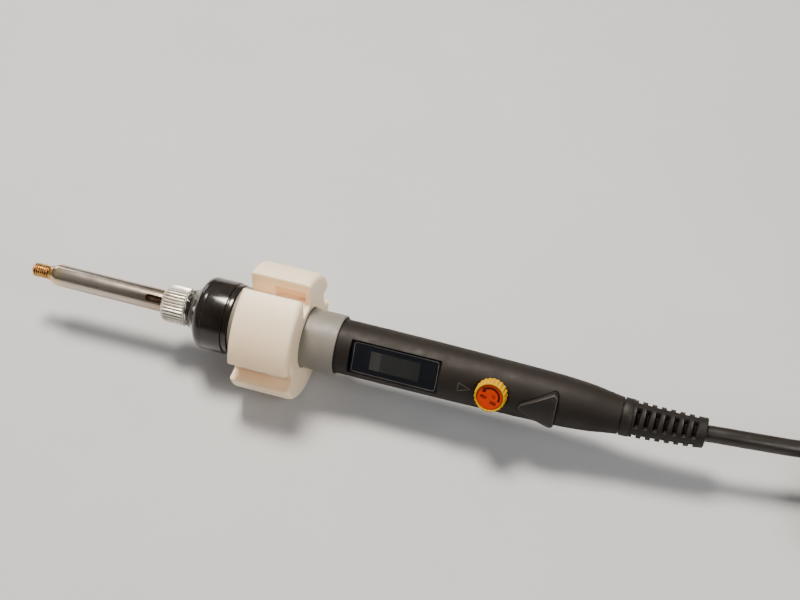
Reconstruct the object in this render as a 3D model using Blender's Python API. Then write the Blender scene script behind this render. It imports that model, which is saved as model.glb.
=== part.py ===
"""Hand-held soldering iron with a built-in thermostat and a clamp-on mounting collar.

Metres, +Z up.  The iron lies level along X: its tip points to -X and its cord leaves at +X.
Stations along the tool are distances s from the cord end of the strain relief; at(s) turns one
into an x coordinate.  Directions round the tool are angles from -Y, turning up towards +Z.
"""
import math

import bmesh
import bpy
from mathutils import Matrix, Vector

MM = 0.001
GAP = 0.3 * MM

# ---- driving dimensions: stations s along the tool -------------------------------------------
TOTAL_LENGTH = 244.3 * MM
RELIEF_LENGTH = 27.7 * MM
SHELL_REAR = 28.0 * MM
BUTTON_SIDE, BUTTON_APEX = 48.9 * MM, 61.4 * MM
KNOB_STATION = 70.85 * MM
WINDOW_REAR, WINDOW_FRONT = 89.3 * MM, 121.2 * MM
GREY_REAR = 126.3 * MM
SHELL_FRONT = 131.1 * MM
COLLAR_REAR, COLLAR_FRONT = 138.35 * MM, 159.85 * MM
GREY_FRONT = 164.2 * MM
SHIELD_REAR = 164.5 * MM
SHIELD_SHOULDER = 175.2 * MM
SHIELD_NOSE = 181.75 * MM
NUT_REAR, NUT_FRONT = 183.1 * MM, 192.0 * MM
SLEEVE_REAR, SLEEVE_FRONT = 190.0 * MM, 236.2 * MM
THREAD_START = 238.3 * MM

# ---- driving dimensions: radii ---------------------------------------------------------------
COLLAR_RADIUS = 22.65 * MM
COLLAR_BORE = 10.9 * MM
GREY_RADIUS = 10.6 * MM
GREY_RIM_RADIUS = 12.3 * MM
SHIELD_RADIUS = 13.0 * MM
NECK_RADIUS = 5.85 * MM
NUT_RADIUS = 6.83 * MM
SLEEVE_RADIUS, SLEEVE_BORE = 4.0 * MM, 3.6 * MM
HEATER_RADIUS = 2.25 * MM
SHELL_WALL = 1.6 * MM
HANDLE_PROFILE = (                      # station and radius of the shell's outside
    (28.0 * MM, 6.35 * MM), (31.0 * MM, 6.8 * MM), (37.6 * MM, 7.8 * MM), (45.8 * MM, 8.5 * MM),
    (54.0 * MM, 8.85 * MM), (71.0 * MM, 9.15 * MM), (88.0 * MM, 9.4 * MM), (105.0 * MM, 9.525 * MM),
    (131.1 * MM, 9.525 * MM))

# ---- directions round the tool, degrees ------------------------------------------------------
FACE_ANGLE = 34.0                       # display, knob and circuit board
BUTTON_ANGLE = 21.0
VENT_ANGLE = 55.0                       # slot in the tip sleeve
RELIEF_SLOT_ANGLE = 59.0                # first of four rows of slots in the strain relief

# ---- resolution ------------------------------------------------------------------------------
COLLAR_SEGMENTS = 48
BODY_SEGMENTS = 40
SMALL_SEGMENTS = 20

# The iron rests on the flat facet at the bottom of its collar.
AXIS_HEIGHT = COLLAR_RADIUS * math.cos(math.pi / COLLAR_SEGMENTS)

# ---- the cord --------------------------------------------------------------------------------
CORD_DIAMETER = 5.8 * MM
RELIEF_BEND = 1.4 * MM                  # sideways set of the strain relief at its cord end
HANK_CENTRE = (222.5 * MM, -4.4 * MM)
HANK_RUN = 72.0 * MM                     # straight stretch between the hank's rounded ends
HANK_RADIUS = 3.6 * CORD_DIAMETER       # middle of the turns at its rounded ends
LEAD_ROUTE = (                          # from the strain relief towards the hank
    (122.5, 1.42, 22.60), (129.0, 2.08, 22.55), (136.0, 2.85, 22.35), (143.0, 3.75, 22.00),
    (150.0, 4.85, 21.40), (156.0, 6.35, 20.55))
TAIL_ROUTE = (                          # from the hank to the plug
    (286.4, 6.65, 4.84), (288.8, 5.71, 5.43), (291.3, 4.98, 5.98), (293.8, 4.45, 6.42),
    (296.4, 4.13, 6.73), (298.8, 4.02, 6.85))
PLUG_BACK = (299.1 * MM, 4.02 * MM)


def at(s):
    """x coordinate of the station s."""
    return TOTAL_LENGTH / 2 - s


def clear_scene():
    for old in list(bpy.data.objects):
        bpy.data.objects.remove(old, do_unlink=True)


# ---------------------------------------------------------------------------------------------
# helpers
# ---------------------------------------------------------------------------------------------
def material(name, colour, roughness, metallic=0.0):
    mat = bpy.data.materials.new(name)
    mat.use_nodes = True
    shader = mat.node_tree.nodes["Principled BSDF"]
    shader.inputs["Base Color"].default_value = (*colour, 1.0)
    shader.inputs["Roughness"].default_value = roughness
    shader.inputs["Metallic"].default_value = metallic
    return mat


def empty(name, location=(0, 0, 0), roll=0.0, parent=None):
    """A frame to hang parts on, rolled about the tool's axis."""
    frame = bpy.data.objects.new(name, None)
    frame.location = location
    frame.rotation_euler = (roll, 0, 0)
    frame.parent = parent
    bpy.context.collection.objects.link(frame)
    return frame


def face_roll(angle):
    """Roll that turns a frame's +Z to the direction `angle` round the tool."""
    return math.radians(90.0 - angle)


def solid(name, bm, mat, parent=None, location=(0, 0, 0), smooth=True):
    """Closes a bmesh into an object whose faces point out."""
    bmesh.ops.recalc_face_normals(bm, faces=bm.faces)
    mesh = bpy.data.meshes.new(name)
    bm.to_mesh(mesh)
    bm.free()
    mesh.materials.append(mat)
    if smooth:
        mesh.shade_smooth()
        mesh.set_sharp_from_angle(angle=math.radians(35))
    part = bpy.data.objects.new(name, mesh)
    part.location = location
    part.parent = parent
    bpy.context.collection.objects.link(part)
    return part


def ring_rows(bm, rows, closed_rows):
    """Skins rows of vertices into quads; a row of one vertex is a pole."""
    pairs = list(zip(rows, rows[1:]))
    if closed_rows:
        pairs.append((rows[-1], rows[0]))
    for low, high in pairs:
        count = max(len(low), len(high))
        for i in range(count):
            j = (i + 1) % count
            if len(low) == 1:
                bm.faces.new((low[0], high[i], high[j]))
            elif len(high) == 1:
                bm.faces.new((low[i], high[0], low[j]))
            else:
                bm.faces.new((low[i], high[i], high[j], low[j]))


def turned(name, outline, mat, segments=BODY_SEGMENTS, parent=None, start=0.0):
    """A body turned about the tool's axis from a closed outline of (station, radius)."""
    bm = bmesh.new()
    rows = []
    for s, radius in outline:
        if radius == 0.0:
            rows.append([bm.verts.new((at(s), 0, 0))])
            continue
        row = []
        for i in range(segments):
            a = start + 2 * math.pi * i / segments
            row.append(bm.verts.new((at(s), -radius * math.cos(a), radius * math.sin(a))))
        rows.append(row)
    on_axis = outline[0][1] == 0.0 and outline[-1][1] == 0.0
    ring_rows(bm, rows, closed_rows=not on_axis)
    return solid(name, bm, mat, parent)


def prism(name, outline, low, high, mat, parent=None, location=(0, 0, 0), smooth=False):
    """A flat (x, y) outline extruded along the parent's Z."""
    bm = bmesh.new()
    face = bm.faces.new([bm.verts.new((x, y, low)) for x, y in outline])
    top = bmesh.ops.extrude_face_region(bm, geom=[face])["geom"]
    lifted = [v for v in top if isinstance(v, bmesh.types.BMVert)]
    bmesh.ops.translate(bm, verts=lifted, vec=(0, 0, high - low))
    return solid(name, bm, mat, parent, location, smooth)


def circle(radius, count, centre=(0.0, 0.0)):
    return [(centre[0] + radius * math.cos(2 * math.pi * i / count),
             centre[1] + radius * math.sin(2 * math.pi * i / count)) for i in range(count)]


def block(name, low, high, mat, parent=None, edge=0.0):
    """A box between two corners, with its edges broken by `edge`."""
    bm = bmesh.new()
    bmesh.ops.create_cube(bm, size=1.0)
    size = [b - a for a, b in zip(low, high)]
    middle = [(a + b) / 2 for a, b in zip(low, high)]
    bmesh.ops.scale(bm, verts=bm.verts, vec=size)
    bmesh.ops.translate(bm, verts=bm.verts, vec=middle)
    if edge:
        bmesh.ops.bevel(bm, geom=bm.edges[:], offset=edge, segments=1, affect="EDGES")
    return solid(name, bm, mat, parent, smooth=False)


def boolean(part, cutter, operation="DIFFERENCE"):
    """Cuts (or trims) a part with a guide body that is itself left out."""
    cutter.hide_render = True
    cutter.display_type = "WIRE"
    modifier = part.modifiers.new(cutter.name, "BOOLEAN")
    modifier.operation = operation
    modifier.object = cutter
    modifier.solver = "EXACT"


def hull(centres, radius, steps=4):
    """Outline round equal circles at the corners of a convex, counter-clockwise polygon."""
    outline = []
    count = len(centres)
    for i, (x, y) in enumerate(centres):
        before = Vector((x, y)) - Vector(centres[i - 1])
        after = Vector(centres[(i + 1) % count]) - Vector((x, y))
        first = math.atan2(-before.x, before.y)
        turn = (math.atan2(-after.x, after.y) - first) % (2 * math.pi)
        for k in range(steps + 1):
            a = first + turn * k / steps
            outline.append((x + radius * math.cos(a), y + radius * math.sin(a)))
    return outline


def tube(name, points, radius, mat, parent=None, sides_step=2):
    """A wire or cord: a round tube with flat ends along a row of points."""
    curve = bpy.data.curves.new(name, "CURVE")
    curve.dimensions = "3D"
    curve.bevel_depth = radius
    curve.bevel_resolution = sides_step
    curve.use_fill_caps = True
    spline = curve.splines.new("POLY")
    spline.points.add(len(points) - 1)
    for spot, point in zip(spline.points, points):
        spot.co = (*point, 1.0)
    curve.materials.append(mat)
    part = bpy.data.objects.new(name, curve)
    part.parent = parent
    bpy.context.collection.objects.link(part)
    return part


def catmull_rom(points, t):
    """Point on a smooth curve through `points`, at t counted in whole points."""
    i = min(int(t), len(points) - 2)
    f = t - i
    p1, p2 = points[i], points[i + 1]
    p0 = points[i - 1] if i > 0 else [2 * a - b for a, b in zip(p1, p2)]
    p3 = points[i + 2] if i + 2 < len(points) else [2 * b - a for a, b in zip(p1, p2)]
    return [0.5 * (2 * b + (c - a) * f + (2 * a - 5 * b + 4 * c - d) * f ** 2
                   + (3 * b - a - 3 * c + d) * f ** 3) for a, b, c, d in zip(p0, p1, p2, p3)]


def handle_radius(s):
    """Outside radius of the handle shell at the station s."""
    for i, (here, there) in enumerate(zip(HANDLE_PROFILE, HANDLE_PROFILE[1:])):
        if s <= there[0]:
            return catmull_rom(HANDLE_PROFILE, i + (s - here[0]) / (there[0] - here[0]))[1]
    return HANDLE_PROFILE[-1][1]


# ---------------------------------------------------------------------------------------------
# nose: tip, sleeve, nut, neck, heat shield
# ---------------------------------------------------------------------------------------------
def soldering_tip(parent):
    """Brass tip: hollow tail on the heater, shoulder behind the sleeve's lip, threaded stud."""
    pitch, root, crest = 0.8 * MM, 2.1 * MM, 2.5 * MM
    tail_end, tail_bore, tail_radius = 215.0 * MM, 2.6 * MM, 3.25 * MM
    outline = [(232.0 * MM, 0.0), (232.0 * MM, tail_bore), (tail_end, tail_bore),
               (tail_end, tail_radius), (234.9 * MM, tail_radius), (234.9 * MM, 2.75 * MM),
               (237.6 * MM, 2.75 * MM), (THREAD_START, root)]
    turns = int((TOTAL_LENGTH - THREAD_START) / pitch)
    for k in range(turns):
        start = THREAD_START + k * pitch
        outline += [(start + 0.3 * pitch, crest), (start + 0.6 * pitch, crest), (start + pitch, root)]
    outline += [(TOTAL_LENGTH, 1.9 * MM), (TOTAL_LENGTH, 0.0)]
    brass = material("brass", (0.62, 0.38, 0.13), 0.3, 1.0)
    return turned("soldering_tip", outline, brass, SMALL_SEGMENTS, parent)


def tip_sleeve(parent):
    """Steel tube over the tip, with a clamped flange, a front lip and a vent slot."""
    flange_front, flange_radius = 190.8 * MM, 5.6 * MM
    outline = [(SLEEVE_REAR, SLEEVE_BORE), (SLEEVE_REAR, flange_radius), (flange_front, flange_radius),
               (flange_front, SLEEVE_RADIUS), (234.4 * MM, SLEEVE_RADIUS), (SLEEVE_FRONT, 3.35 * MM),
               (SLEEVE_FRONT, 3.1 * MM), (235.2 * MM, 3.1 * MM), (235.2 * MM, SLEEVE_BORE)]
    steel = material("polished_steel", (0.72, 0.70, 0.68), 0.18, 1.0)
    sleeve = turned("tip_sleeve", outline, steel, 32, parent)
    vent_frame = empty("vent_frame", roll=face_roll(VENT_ANGLE), parent=parent)
    half_width = 1.15 * MM
    ends = [(at(199.1 * MM) + half_width, 0.0), (at(193.2 * MM), 0.0)]
    cutter = prism("vent_cutter", hull(ends, half_width), 2.0 * MM, 6.0 * MM, steel, vent_frame)
    boolean(sleeve, cutter)
    return sleeve


def tip_nut(parent):
    """Knurled nut: straight teeth outside, threaded bore behind a lip that holds the sleeve."""
    teeth, root = 36, 6.5 * MM
    bore, lip_bore, lip = 6.15 * MM, 4.3 * MM, 191.1 * MM
    chamfer = 0.9 * MM
    bm = bmesh.new()
    sections = [(NUT_REAR, bore, bore), (NUT_REAR, 6.3 * MM, 6.3 * MM), (NUT_REAR + 0.4 * MM, root, NUT_RADIUS),
                (NUT_FRONT - chamfer, root, NUT_RADIUS), (NUT_FRONT, 6.0 * MM, 6.0 * MM),
                (NUT_FRONT, lip_bore, lip_bore), (lip, lip_bore, lip_bore), (lip, bore, bore)]
    rows = []
    for s, low, high in sections:
        row = []
        for i in range(2 * teeth):
            radius = high if i % 2 else low
            a = math.pi * i / teeth
            row.append(bm.verts.new((at(s), -radius * math.cos(a), radius * math.sin(a))))
        rows.append(row)
    ring_rows(bm, rows, closed_rows=True)
    nickel = material("nickel", (0.78, 0.75, 0.72), 0.28, 1.0)
    return solid("tip_nut", bm, nickel, parent)


def threaded_neck(parent):
    """Chromed bush: threaded outside the nose, a shank through it and a flange behind it."""
    front, shank_start, flange = 189.6 * MM, 182.05 * MM, 175.0 * MM
    bore, shank = 3.4 * MM, 4.6 * MM
    outline = [(front, bore), (front, NECK_RADIUS), (shank_start, NECK_RADIUS), (shank_start, shank),
               (flange, shank), (flange, 6.8 * MM), (173.8 * MM, 6.8 * MM), (173.8 * MM, bore)]
    chrome = material("chrome", (0.75, 0.75, 0.76), 0.12, 1.0)
    return turned("threaded_neck", outline, chrome, 32, parent)


def heat_shield(parent):
    """Glossy nose flange: spigot, rear ring, groove, cylinder, rounded shoulder and cone."""
    cavity, hole, spigot = 7.2 * MM, 4.9 * MM, 8.4 * MM
    spigot_rear, front_wall = 150.5 * MM, 175.3 * MM
    ring_radius, groove_radius = 12.7 * MM, 12.25 * MM
    outline = [(spigot_rear, spigot), (SHIELD_REAR, spigot), (SHIELD_REAR, ring_radius),
               (165.8 * MM, ring_radius), (166.0 * MM, groove_radius), (166.5 * MM, groove_radius),
               (166.7 * MM, SHIELD_RADIUS), (SHIELD_SHOULDER, SHIELD_RADIUS)]
    shoulder_run, shoulder_drop, steps = 1.9 * MM, 1.1 * MM, 3
    for k in range(1, steps + 1):
        a = math.radians(60) * k / steps
        outline.append((SHIELD_SHOULDER + shoulder_run * math.sin(a) / math.sin(math.radians(60)),
                        SHIELD_RADIUS - shoulder_drop * (1 - math.cos(a)) / 0.5))
    outline += [(181.2 * MM, 6.9 * MM), (SHIELD_NOSE, 6.6 * MM), (SHIELD_NOSE, hole),
                (front_wall, hole), (front_wall, cavity), (spigot_rear, cavity)]
    black = material("gloss_black", (0.02, 0.018, 0.017), 0.18)
    return turned("heat_shield", outline, black, BODY_SEGMENTS, parent)


def heater(parent):
    """Ceramic heating rod and the ceramic disc that holds it in the nose."""
    ceramic = material("ceramic", (0.86, 0.83, 0.78), 0.5)
    rod_rear, rod_front = 170.0 * MM, 231.0 * MM
    turned("heater_element", [(rod_rear, 0.0), (rod_rear, HEATER_RADIUS), (rod_front, HEATER_RADIUS),
                              (rod_front, 0.0)], ceramic, 16, parent)
    inner, outer = HEATER_RADIUS + GAP, 6.9 * MM
    turned("heater_holder", [(165.0 * MM, inner), (165.0 * MM, outer), (168.5 * MM, outer),
                             (168.5 * MM, inner)], ceramic, 24, parent)


# ---------------------------------------------------------------------------------------------
# collar and grey front body
# ---------------------------------------------------------------------------------------------
KEYWAYS = (                             # direction, width, floor radius
    (1.0, 8.4 * MM, 16.8 * MM), (94.0, 7.2 * MM, 13.4 * MM), (181.0, 9.0 * MM, 16.4 * MM))


def keyway_cutter(index, angle, width, floor, parent, mat):
    """Full-length groove with a flared mouth."""
    frame = empty(f"keyway_frame_{index}", roll=face_roll(angle), parent=parent)
    lip, lip_depth = 0.9 * MM, 1.1 * MM
    mouth = math.sqrt(COLLAR_RADIUS ** 2 - (width / 2) ** 2)
    outside = COLLAR_RADIUS + 2 * MM
    section = [(width / 2, floor), (width / 2, mouth - lip_depth), (width / 2 + lip, mouth + GAP),
               (width / 2 + lip, outside), (-width / 2 - lip, outside), (-width / 2 - lip, mouth + GAP),
               (-width / 2, mouth - lip_depth), (-width / 2, floor)]
    bm = bmesh.new()
    rows = []
    for s in (COLLAR_REAR - 2 * MM, COLLAR_FRONT + 2 * MM):
        rows.append([bm.verts.new((at(s), y, z)) for y, z in section])
    ring_rows(bm, rows, closed_rows=False)
    bm.faces.new(rows[0])
    bm.faces.new(rows[1])
    return solid(f"keyway_cutter_{index}", bm, mat, frame, smooth=False)


def mounting_collar(parent):
    """White collar: bored disc, rounded rims, three keyways and a pocket in the upper one."""
    white = material("white_print", (0.86, 0.80, 0.72), 0.45)
    rear_fillet, front_fillet = 1.6 * MM, 1.0 * MM
    outline = [(COLLAR_REAR, COLLAR_BORE)]
    for fillet, s, sign, steps in ((rear_fillet, COLLAR_REAR, 1, 3), (front_fillet, COLLAR_FRONT, -1, 2)):
        arc = []
        for k in range(steps + 1):
            a = math.pi / 2 * k / steps
            arc.append((s + sign * fillet * (1 - math.sin(a)), COLLAR_RADIUS - fillet * (1 - math.cos(a))))
        outline += arc[::-1] if sign > 0 else arc
    outline.append((COLLAR_FRONT, COLLAR_BORE))
    facet = 2 * math.pi / COLLAR_SEGMENTS
    collar = turned("mounting_collar", outline, white, COLLAR_SEGMENTS, parent, start=facet / 2)
    for index, (angle, width, floor) in enumerate(KEYWAYS):
        boolean(collar, keyway_cutter(index, angle, width, floor, parent, white))
    pocket_low, pocket_high = 12.9 * MM, 18.4 * MM
    frame = empty("pocket_frame", roll=face_roll(KEYWAYS[1][0]), parent=parent)
    wall = KEYWAYS[1][1] / 2
    pocket = block("pocket_cutter", (at(151.4 * MM), wall - 1 * MM, pocket_low + 0.8 * MM),
                   (at(140.5 * MM), wall + 1.6 * MM, pocket_high), white, frame)
    boolean(collar, pocket)
    return collar


def front_body(parent):
    """Grey sleeve: socket for the shell, long barrel through the collar, front rim."""
    grey = material("warm_grey", (0.40, 0.37, 0.32), 0.45)
    socket, bore = SHELL_FRONT + GAP, 8.7 * MM
    outline = [(GREY_REAR, 9.85 * MM), (GREY_REAR, GREY_RADIUS - 0.25 * MM), (GREY_REAR + 0.25 * MM, GREY_RADIUS),
               (COLLAR_FRONT + 0.35 * MM, GREY_RADIUS), (COLLAR_FRONT + 0.35 * MM, GREY_RIM_RADIUS),
               (GREY_FRONT, GREY_RIM_RADIUS), (GREY_FRONT, bore), (socket, bore), (socket, 9.85 * MM)]
    return turned("front_body", outline, grey, BODY_SEGMENTS, parent)


# ---------------------------------------------------------------------------------------------
# handle
# ---------------------------------------------------------------------------------------------
LENS_TOP = 7.0 * MM
LENS_SEAT = 6.05 * MM
LENS_HALF_WIDTH = 5.75 * MM
KNOB_SEAT = 8.6 * MM
KNOB_RADIUS = 5.45 * MM
BUTTON_CORNER = 1.5 * MM
BUTTON_HALF_WIDTH = 6.7 * MM
BUTTON_PROUD = 1.2 * MM
BUTTON_DROP = 2.3 * MM                  # its top is this much flatter than the shell


def button_outline(clearance=0.0):
    """Rounded triangle, point towards the tip, in the button's frame."""
    inset = BUTTON_CORNER
    apex = (at(BUTTON_APEX) + 2 * inset * 0.5, 0.0)
    side = at(BUTTON_SIDE) - inset
    reach = BUTTON_HALF_WIDTH - inset
    return hull([apex, (side, -reach), (side, reach)], BUTTON_CORNER + clearance)


def handle_shell(parent, control_face, button_face):
    """Tapered shell, open at both ends, with a window, a knob seat and a button opening."""
    black = material("matte_black", (0.030, 0.027, 0.025), 0.5)
    stations = [s for s, _ in HANDLE_PROFILE]
    outer = [(s, handle_radius(s)) for s in stations]
    rear_wall, rear_hole = 31.5 * MM, 4.5 * MM
    inner = [(s, r - SHELL_WALL) for s, r in outer if s > rear_wall]
    inner = [(SHELL_REAR, rear_hole), (rear_wall, rear_hole), (rear_wall, 5.3 * MM)] + inner
    shell = turned("handle_shell", outer + inner[::-1], black, BODY_SEGMENTS, parent)
    lens_gap = LENS_HALF_WIDTH + GAP
    boolean(shell, block("window_cutter", (at(WINDOW_FRONT), -lens_gap, LENS_SEAT),
                         (at(WINDOW_REAR), lens_gap, 12 * MM), black, control_face))
    knob_x = at(KNOB_STATION)
    boolean(shell, prism("knob_seat_cutter", circle(KNOB_RADIUS + 0.5 * MM, 32, (knob_x, 0)), KNOB_SEAT,
                         12 * MM, black, control_face))
    boolean(shell, prism("shaft_hole_cutter", circle(3.5 * MM, 20, (knob_x, 0)), 5 * MM, 9 * MM, black,
                         control_face))
    boolean(shell, prism("button_cutter", button_outline(GAP), 0.3 * MM, 12 * MM, black, button_face))
    return shell


def display(control_face):
    """Window and the display module under it."""
    glass = material("black_glass", (0.008, 0.009, 0.012), 0.08)
    block("display_lens", (at(WINDOW_FRONT) + GAP, -LENS_HALF_WIDTH, LENS_SEAT + GAP),
          (at(WINDOW_REAR) - GAP, LENS_HALF_WIDTH, LENS_TOP), glass, control_face, 0.12 * MM)
    grey = material("display_grey", (0.06, 0.065, 0.06), 0.3)
    block("lcd_module", (at(117.5 * MM), -4.2 * MM, 1.5 * MM), (at(93.0 * MM), 4.2 * MM, 5.75 * MM), grey,
          control_face, 0.2 * MM)


def knob_set(control_face):
    """Fluted knob with its dial disc, on the potentiometer's shaft."""
    hub = empty("knob_axis", location=(at(KNOB_STATION), 0, 0), parent=control_face)
    base, top = KNOB_SEAT + GAP, 13.5 * MM
    flutes, flute_depth, points = 22, 0.35 * MM, 4
    yellow = material("yellow_plastic", (0.85, 0.50, 0.02), 0.35)
    count = flutes * points
    dial_recess, recess_floor = 4.55 * MM, 12.3 * MM
    shaft_hole, hole_top = 3.3 * MM, 11.0 * MM
    bm = bmesh.new()

    def fluted(radius, z, depth):
        row = []
        for i in range(count):
            a = 2 * math.pi * i / count
            r = radius - depth * 0.5 * (1 - math.cos(flutes * a))
            row.append(bm.verts.new((r * math.cos(a), r * math.sin(a), z)))
        return row

    rows = [[bm.verts.new((0, 0, hole_top))], fluted(shaft_hole, hole_top, 0), fluted(shaft_hole, base, 0),
            fluted(KNOB_RADIUS, base, flute_depth), fluted(KNOB_RADIUS - 0.15 * MM, top - 0.3 * MM, flute_depth),
            fluted(KNOB_RADIUS - 0.5 * MM, top, 0), fluted(dial_recess, top, 0),
            fluted(dial_recess, recess_floor, 0), [bm.verts.new((0, 0, recess_floor))]]
    ring_rows(bm, rows, closed_rows=False)
    solid("knob", bm, yellow, hub)
    orange = material("dial_orange", (0.60, 0.08, 0.01), 0.4)
    prism("knob_dial", circle(dial_recess - GAP, 32), recess_floor + GAP, 13.1 * MM, orange, hub)
    dark = material("pot_plastic", (0.05, 0.05, 0.05), 0.5)
    prism("pot_shaft", circle(3.0 * MM, 20), 5.9 * MM, hole_top - GAP, dark, hub)
    metal = material("pot_metal", (0.55, 0.55, 0.55), 0.35, 1.0)
    x = at(KNOB_STATION)
    block("potentiometer_body", (x - 4.5 * MM, -4.3 * MM, 1.5 * MM), (x + 4.5 * MM, 4.3 * MM, 5.6 * MM), metal,
          control_face, 0.2 * MM)


def button_set(button_face):
    """Push button: a curved triangular cap, proud of the shell, over a tactile switch."""
    black = material("button_black", (0.026, 0.024, 0.023), 0.45)
    cap = prism("power_button", button_outline(), 1.5 * MM, 12 * MM, black, button_face)
    stations = [46.0 * MM, 51.5 * MM, 57.0 * MM, 62.5 * MM]
    form_frame = empty("button_form_frame", location=(0, 0, -BUTTON_DROP), parent=button_face)
    inner = 7.0 * MM + BUTTON_DROP
    outline = [(s, handle_radius(s) + BUTTON_PROUD + BUTTON_DROP) for s in stations]
    outline += [(stations[-1], inner), (stations[0], inner)]
    boolean(cap, turned("button_form", outline, black, 72, form_frame), "INTERSECT")
    x = at(54.6 * MM)
    metal = material("switch_body", (0.08, 0.08, 0.08), 0.5)
    switch = block("tactile_switch", (x - 3 * MM, -3 * MM, 2.2 * MM), (x + 3 * MM, 3 * MM, 5.6 * MM), metal,
                   button_face)
    boolean(switch, prism("switch_well_cutter", circle(1.9 * MM, 16, (x, 0)), 3.6 * MM, 7 * MM, metal,
                          button_face))
    prism("switch_plunger", circle(1.5 * MM, 16, (x, 0)), 4.6 * MM, 6.7 * MM, black, button_face)


def electronics(parent, control_face):
    """Board, its larger components, and the leads to the heater and from the mains."""
    green = material("board_green", (0.02, 0.16, 0.07), 0.5)
    board_front, board_rear, half = 122.0 * MM, 50.0 * MM, 6.2 * MM
    block("circuit_board", (at(board_front), -half, 0.0), (at(board_rear), half, 1.2 * MM), green, control_face)
    dark = material("chip_black", (0.03, 0.03, 0.03), 0.5)
    block("controller_chip", (at(89.5 * MM), -2.5 * MM, 1.5 * MM), (at(84.0 * MM), 2.5 * MM, 2.8 * MM), dark,
          control_face, 0.15 * MM)
    block("triac", (at(92.0 * MM), -3.6 * MM, -4.0 * MM), (at(83.0 * MM), 3.6 * MM, -GAP), dark, control_face,
          0.3 * MM)
    red = material("capacitor_red", (0.45, 0.08, 0.05), 0.4)
    block("film_capacitor", (at(113.0 * MM), -3.3 * MM, -6.2 * MM), (at(100.0 * MM), 3.3 * MM, -GAP), red,
          control_face, 0.5 * MM)
    glass = material("fuse_body", (0.5, 0.46, 0.4), 0.4)
    fuse_length, fuse_radius = 8.0 * MM, 1.4 * MM
    bm = bmesh.new()
    bmesh.ops.create_cone(bm, cap_ends=True, segments=12, radius1=fuse_radius, radius2=fuse_radius,
                          depth=fuse_length, matrix=Matrix.Rotation(math.pi / 2, 4, "Y"))
    solid("fuse", bm, glass, control_face, (at(66.0 * MM), 0, -fuse_radius - GAP))
    red_wire = material("wire_red", (0.5, 0.03, 0.02), 0.4)
    blue_wire = material("wire_blue", (0.03, 0.1, 0.4), 0.4)
    wire = 0.7 * MM
    for name, side, mat in (("a", -1, red_wire), ("b", 1, blue_wire)):
        heater_run = [(169.6, 1.1, 0.0), (160.0, 1.3, 0.1), (148.0, 2.2, 0.5), (136.0, 3.2, 0.7),
                      (127.0, 3.4, 0.6), (122.4, 3.4, 0.6)]
        mains_run = [(49.6, 2.4, 0.6), (45.0, 2.3, 0.6), (40.0, 1.8, 0.3), (36.0, 1.5, 0.1), (33.7, 1.5, 0.0)]
        for kind, run in (("heater", heater_run), ("mains", mains_run)):
            points = [(at(s * MM), side * y * MM, z * MM) for s, y, z in run]
            tube(f"{kind}_wire_{name}", points, wire, mat, control_face, 1)


# ---------------------------------------------------------------------------------------------
# strain relief, cord and plug
# ---------------------------------------------------------------------------------------------
def relief_shift(s):
    """Sideways set of the strain relief at the station s: a smooth bend away from the shell."""
    return RELIEF_BEND * max(0.0, 1 - s / RELIEF_LENGTH) ** 2


def strain_relief(parent):
    """Tapered moulding with four rows of slots, a neck through the shell and a flange inside."""
    black = material("relief_black", (0.028, 0.024, 0.022), 0.5)
    slots, pitch, first, half_slot = 7, 3.1 * MM, 4.0 * MM, 0.82 * MM
    core_start, core_end = 3.7 * MM, 4.4 * MM
    start_radius, end_radius = 5.1 * MM, 6.45 * MM
    ease = 0.12 * MM
    slot_half_angle = 32.0

    def outer(s):
        return start_radius + (end_radius - start_radius) * min(1.0, s / RELIEF_LENGTH)

    def core(s):
        return core_start + (core_end - core_start) * s / RELIEF_LENGTH

    rows = [(0.0, None, False), (0.0, outer(0) - 0.4 * MM, False), (0.4 * MM, outer(0), False)]
    for k in range(slots):
        middle = first + k * pitch
        rows += [(middle - half_slot, outer(middle), False), (middle - half_slot + ease, outer(middle), True),
                 (middle + half_slot - ease, outer(middle), True), (middle + half_slot, outer(middle), False)]
    rows += [(24.6 * MM, outer(24.6 * MM), False), (24.8 * MM, end_radius, False),
             (RELIEF_LENGTH, end_radius, False)]
    neck, flange = 4.2 * MM, 5.0 * MM
    rows += [(RELIEF_LENGTH, neck, False), (31.8 * MM, neck, False), (31.8 * MM, flange, False),
             (33.3 * MM, flange, False), (33.3 * MM, None, False)]
    fractions = (-1.0, -0.96, -0.4, 0.4, 0.96, 1.0)
    bm = bmesh.new()
    skin = []
    for s, radius, slotted in rows:
        shift = relief_shift(s)
        if radius is None:
            skin.append([bm.verts.new((at(s), shift, 0))])
            continue
        row = []
        for quarter in range(4):
            for fraction in fractions:
                a = math.radians(RELIEF_SLOT_ANGLE + 90 * quarter + slot_half_angle * fraction)
                r = core(s) if slotted and abs(fraction) < 0.99 else radius
                row.append(bm.verts.new((at(s), shift - r * math.cos(a), r * math.sin(a))))
        skin.append(row)
    ring_rows(bm, skin, closed_rows=False)
    return solid("strain_relief", bm, black, parent)


def racetrack(radius, half_steps=BODY_SEGMENTS // 2):
    """Outline of the hank: two half circles joined by straight runs, counter-clockwise."""
    points = []
    for side, first in ((1, -90), (-1, 90)):
        for k in range(half_steps + 1):
            a = math.radians(first + 180 * k / half_steps)
            points.append((side * HANK_RUN / 2 + radius * math.cos(a), radius * math.sin(a)))
    return points


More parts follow.
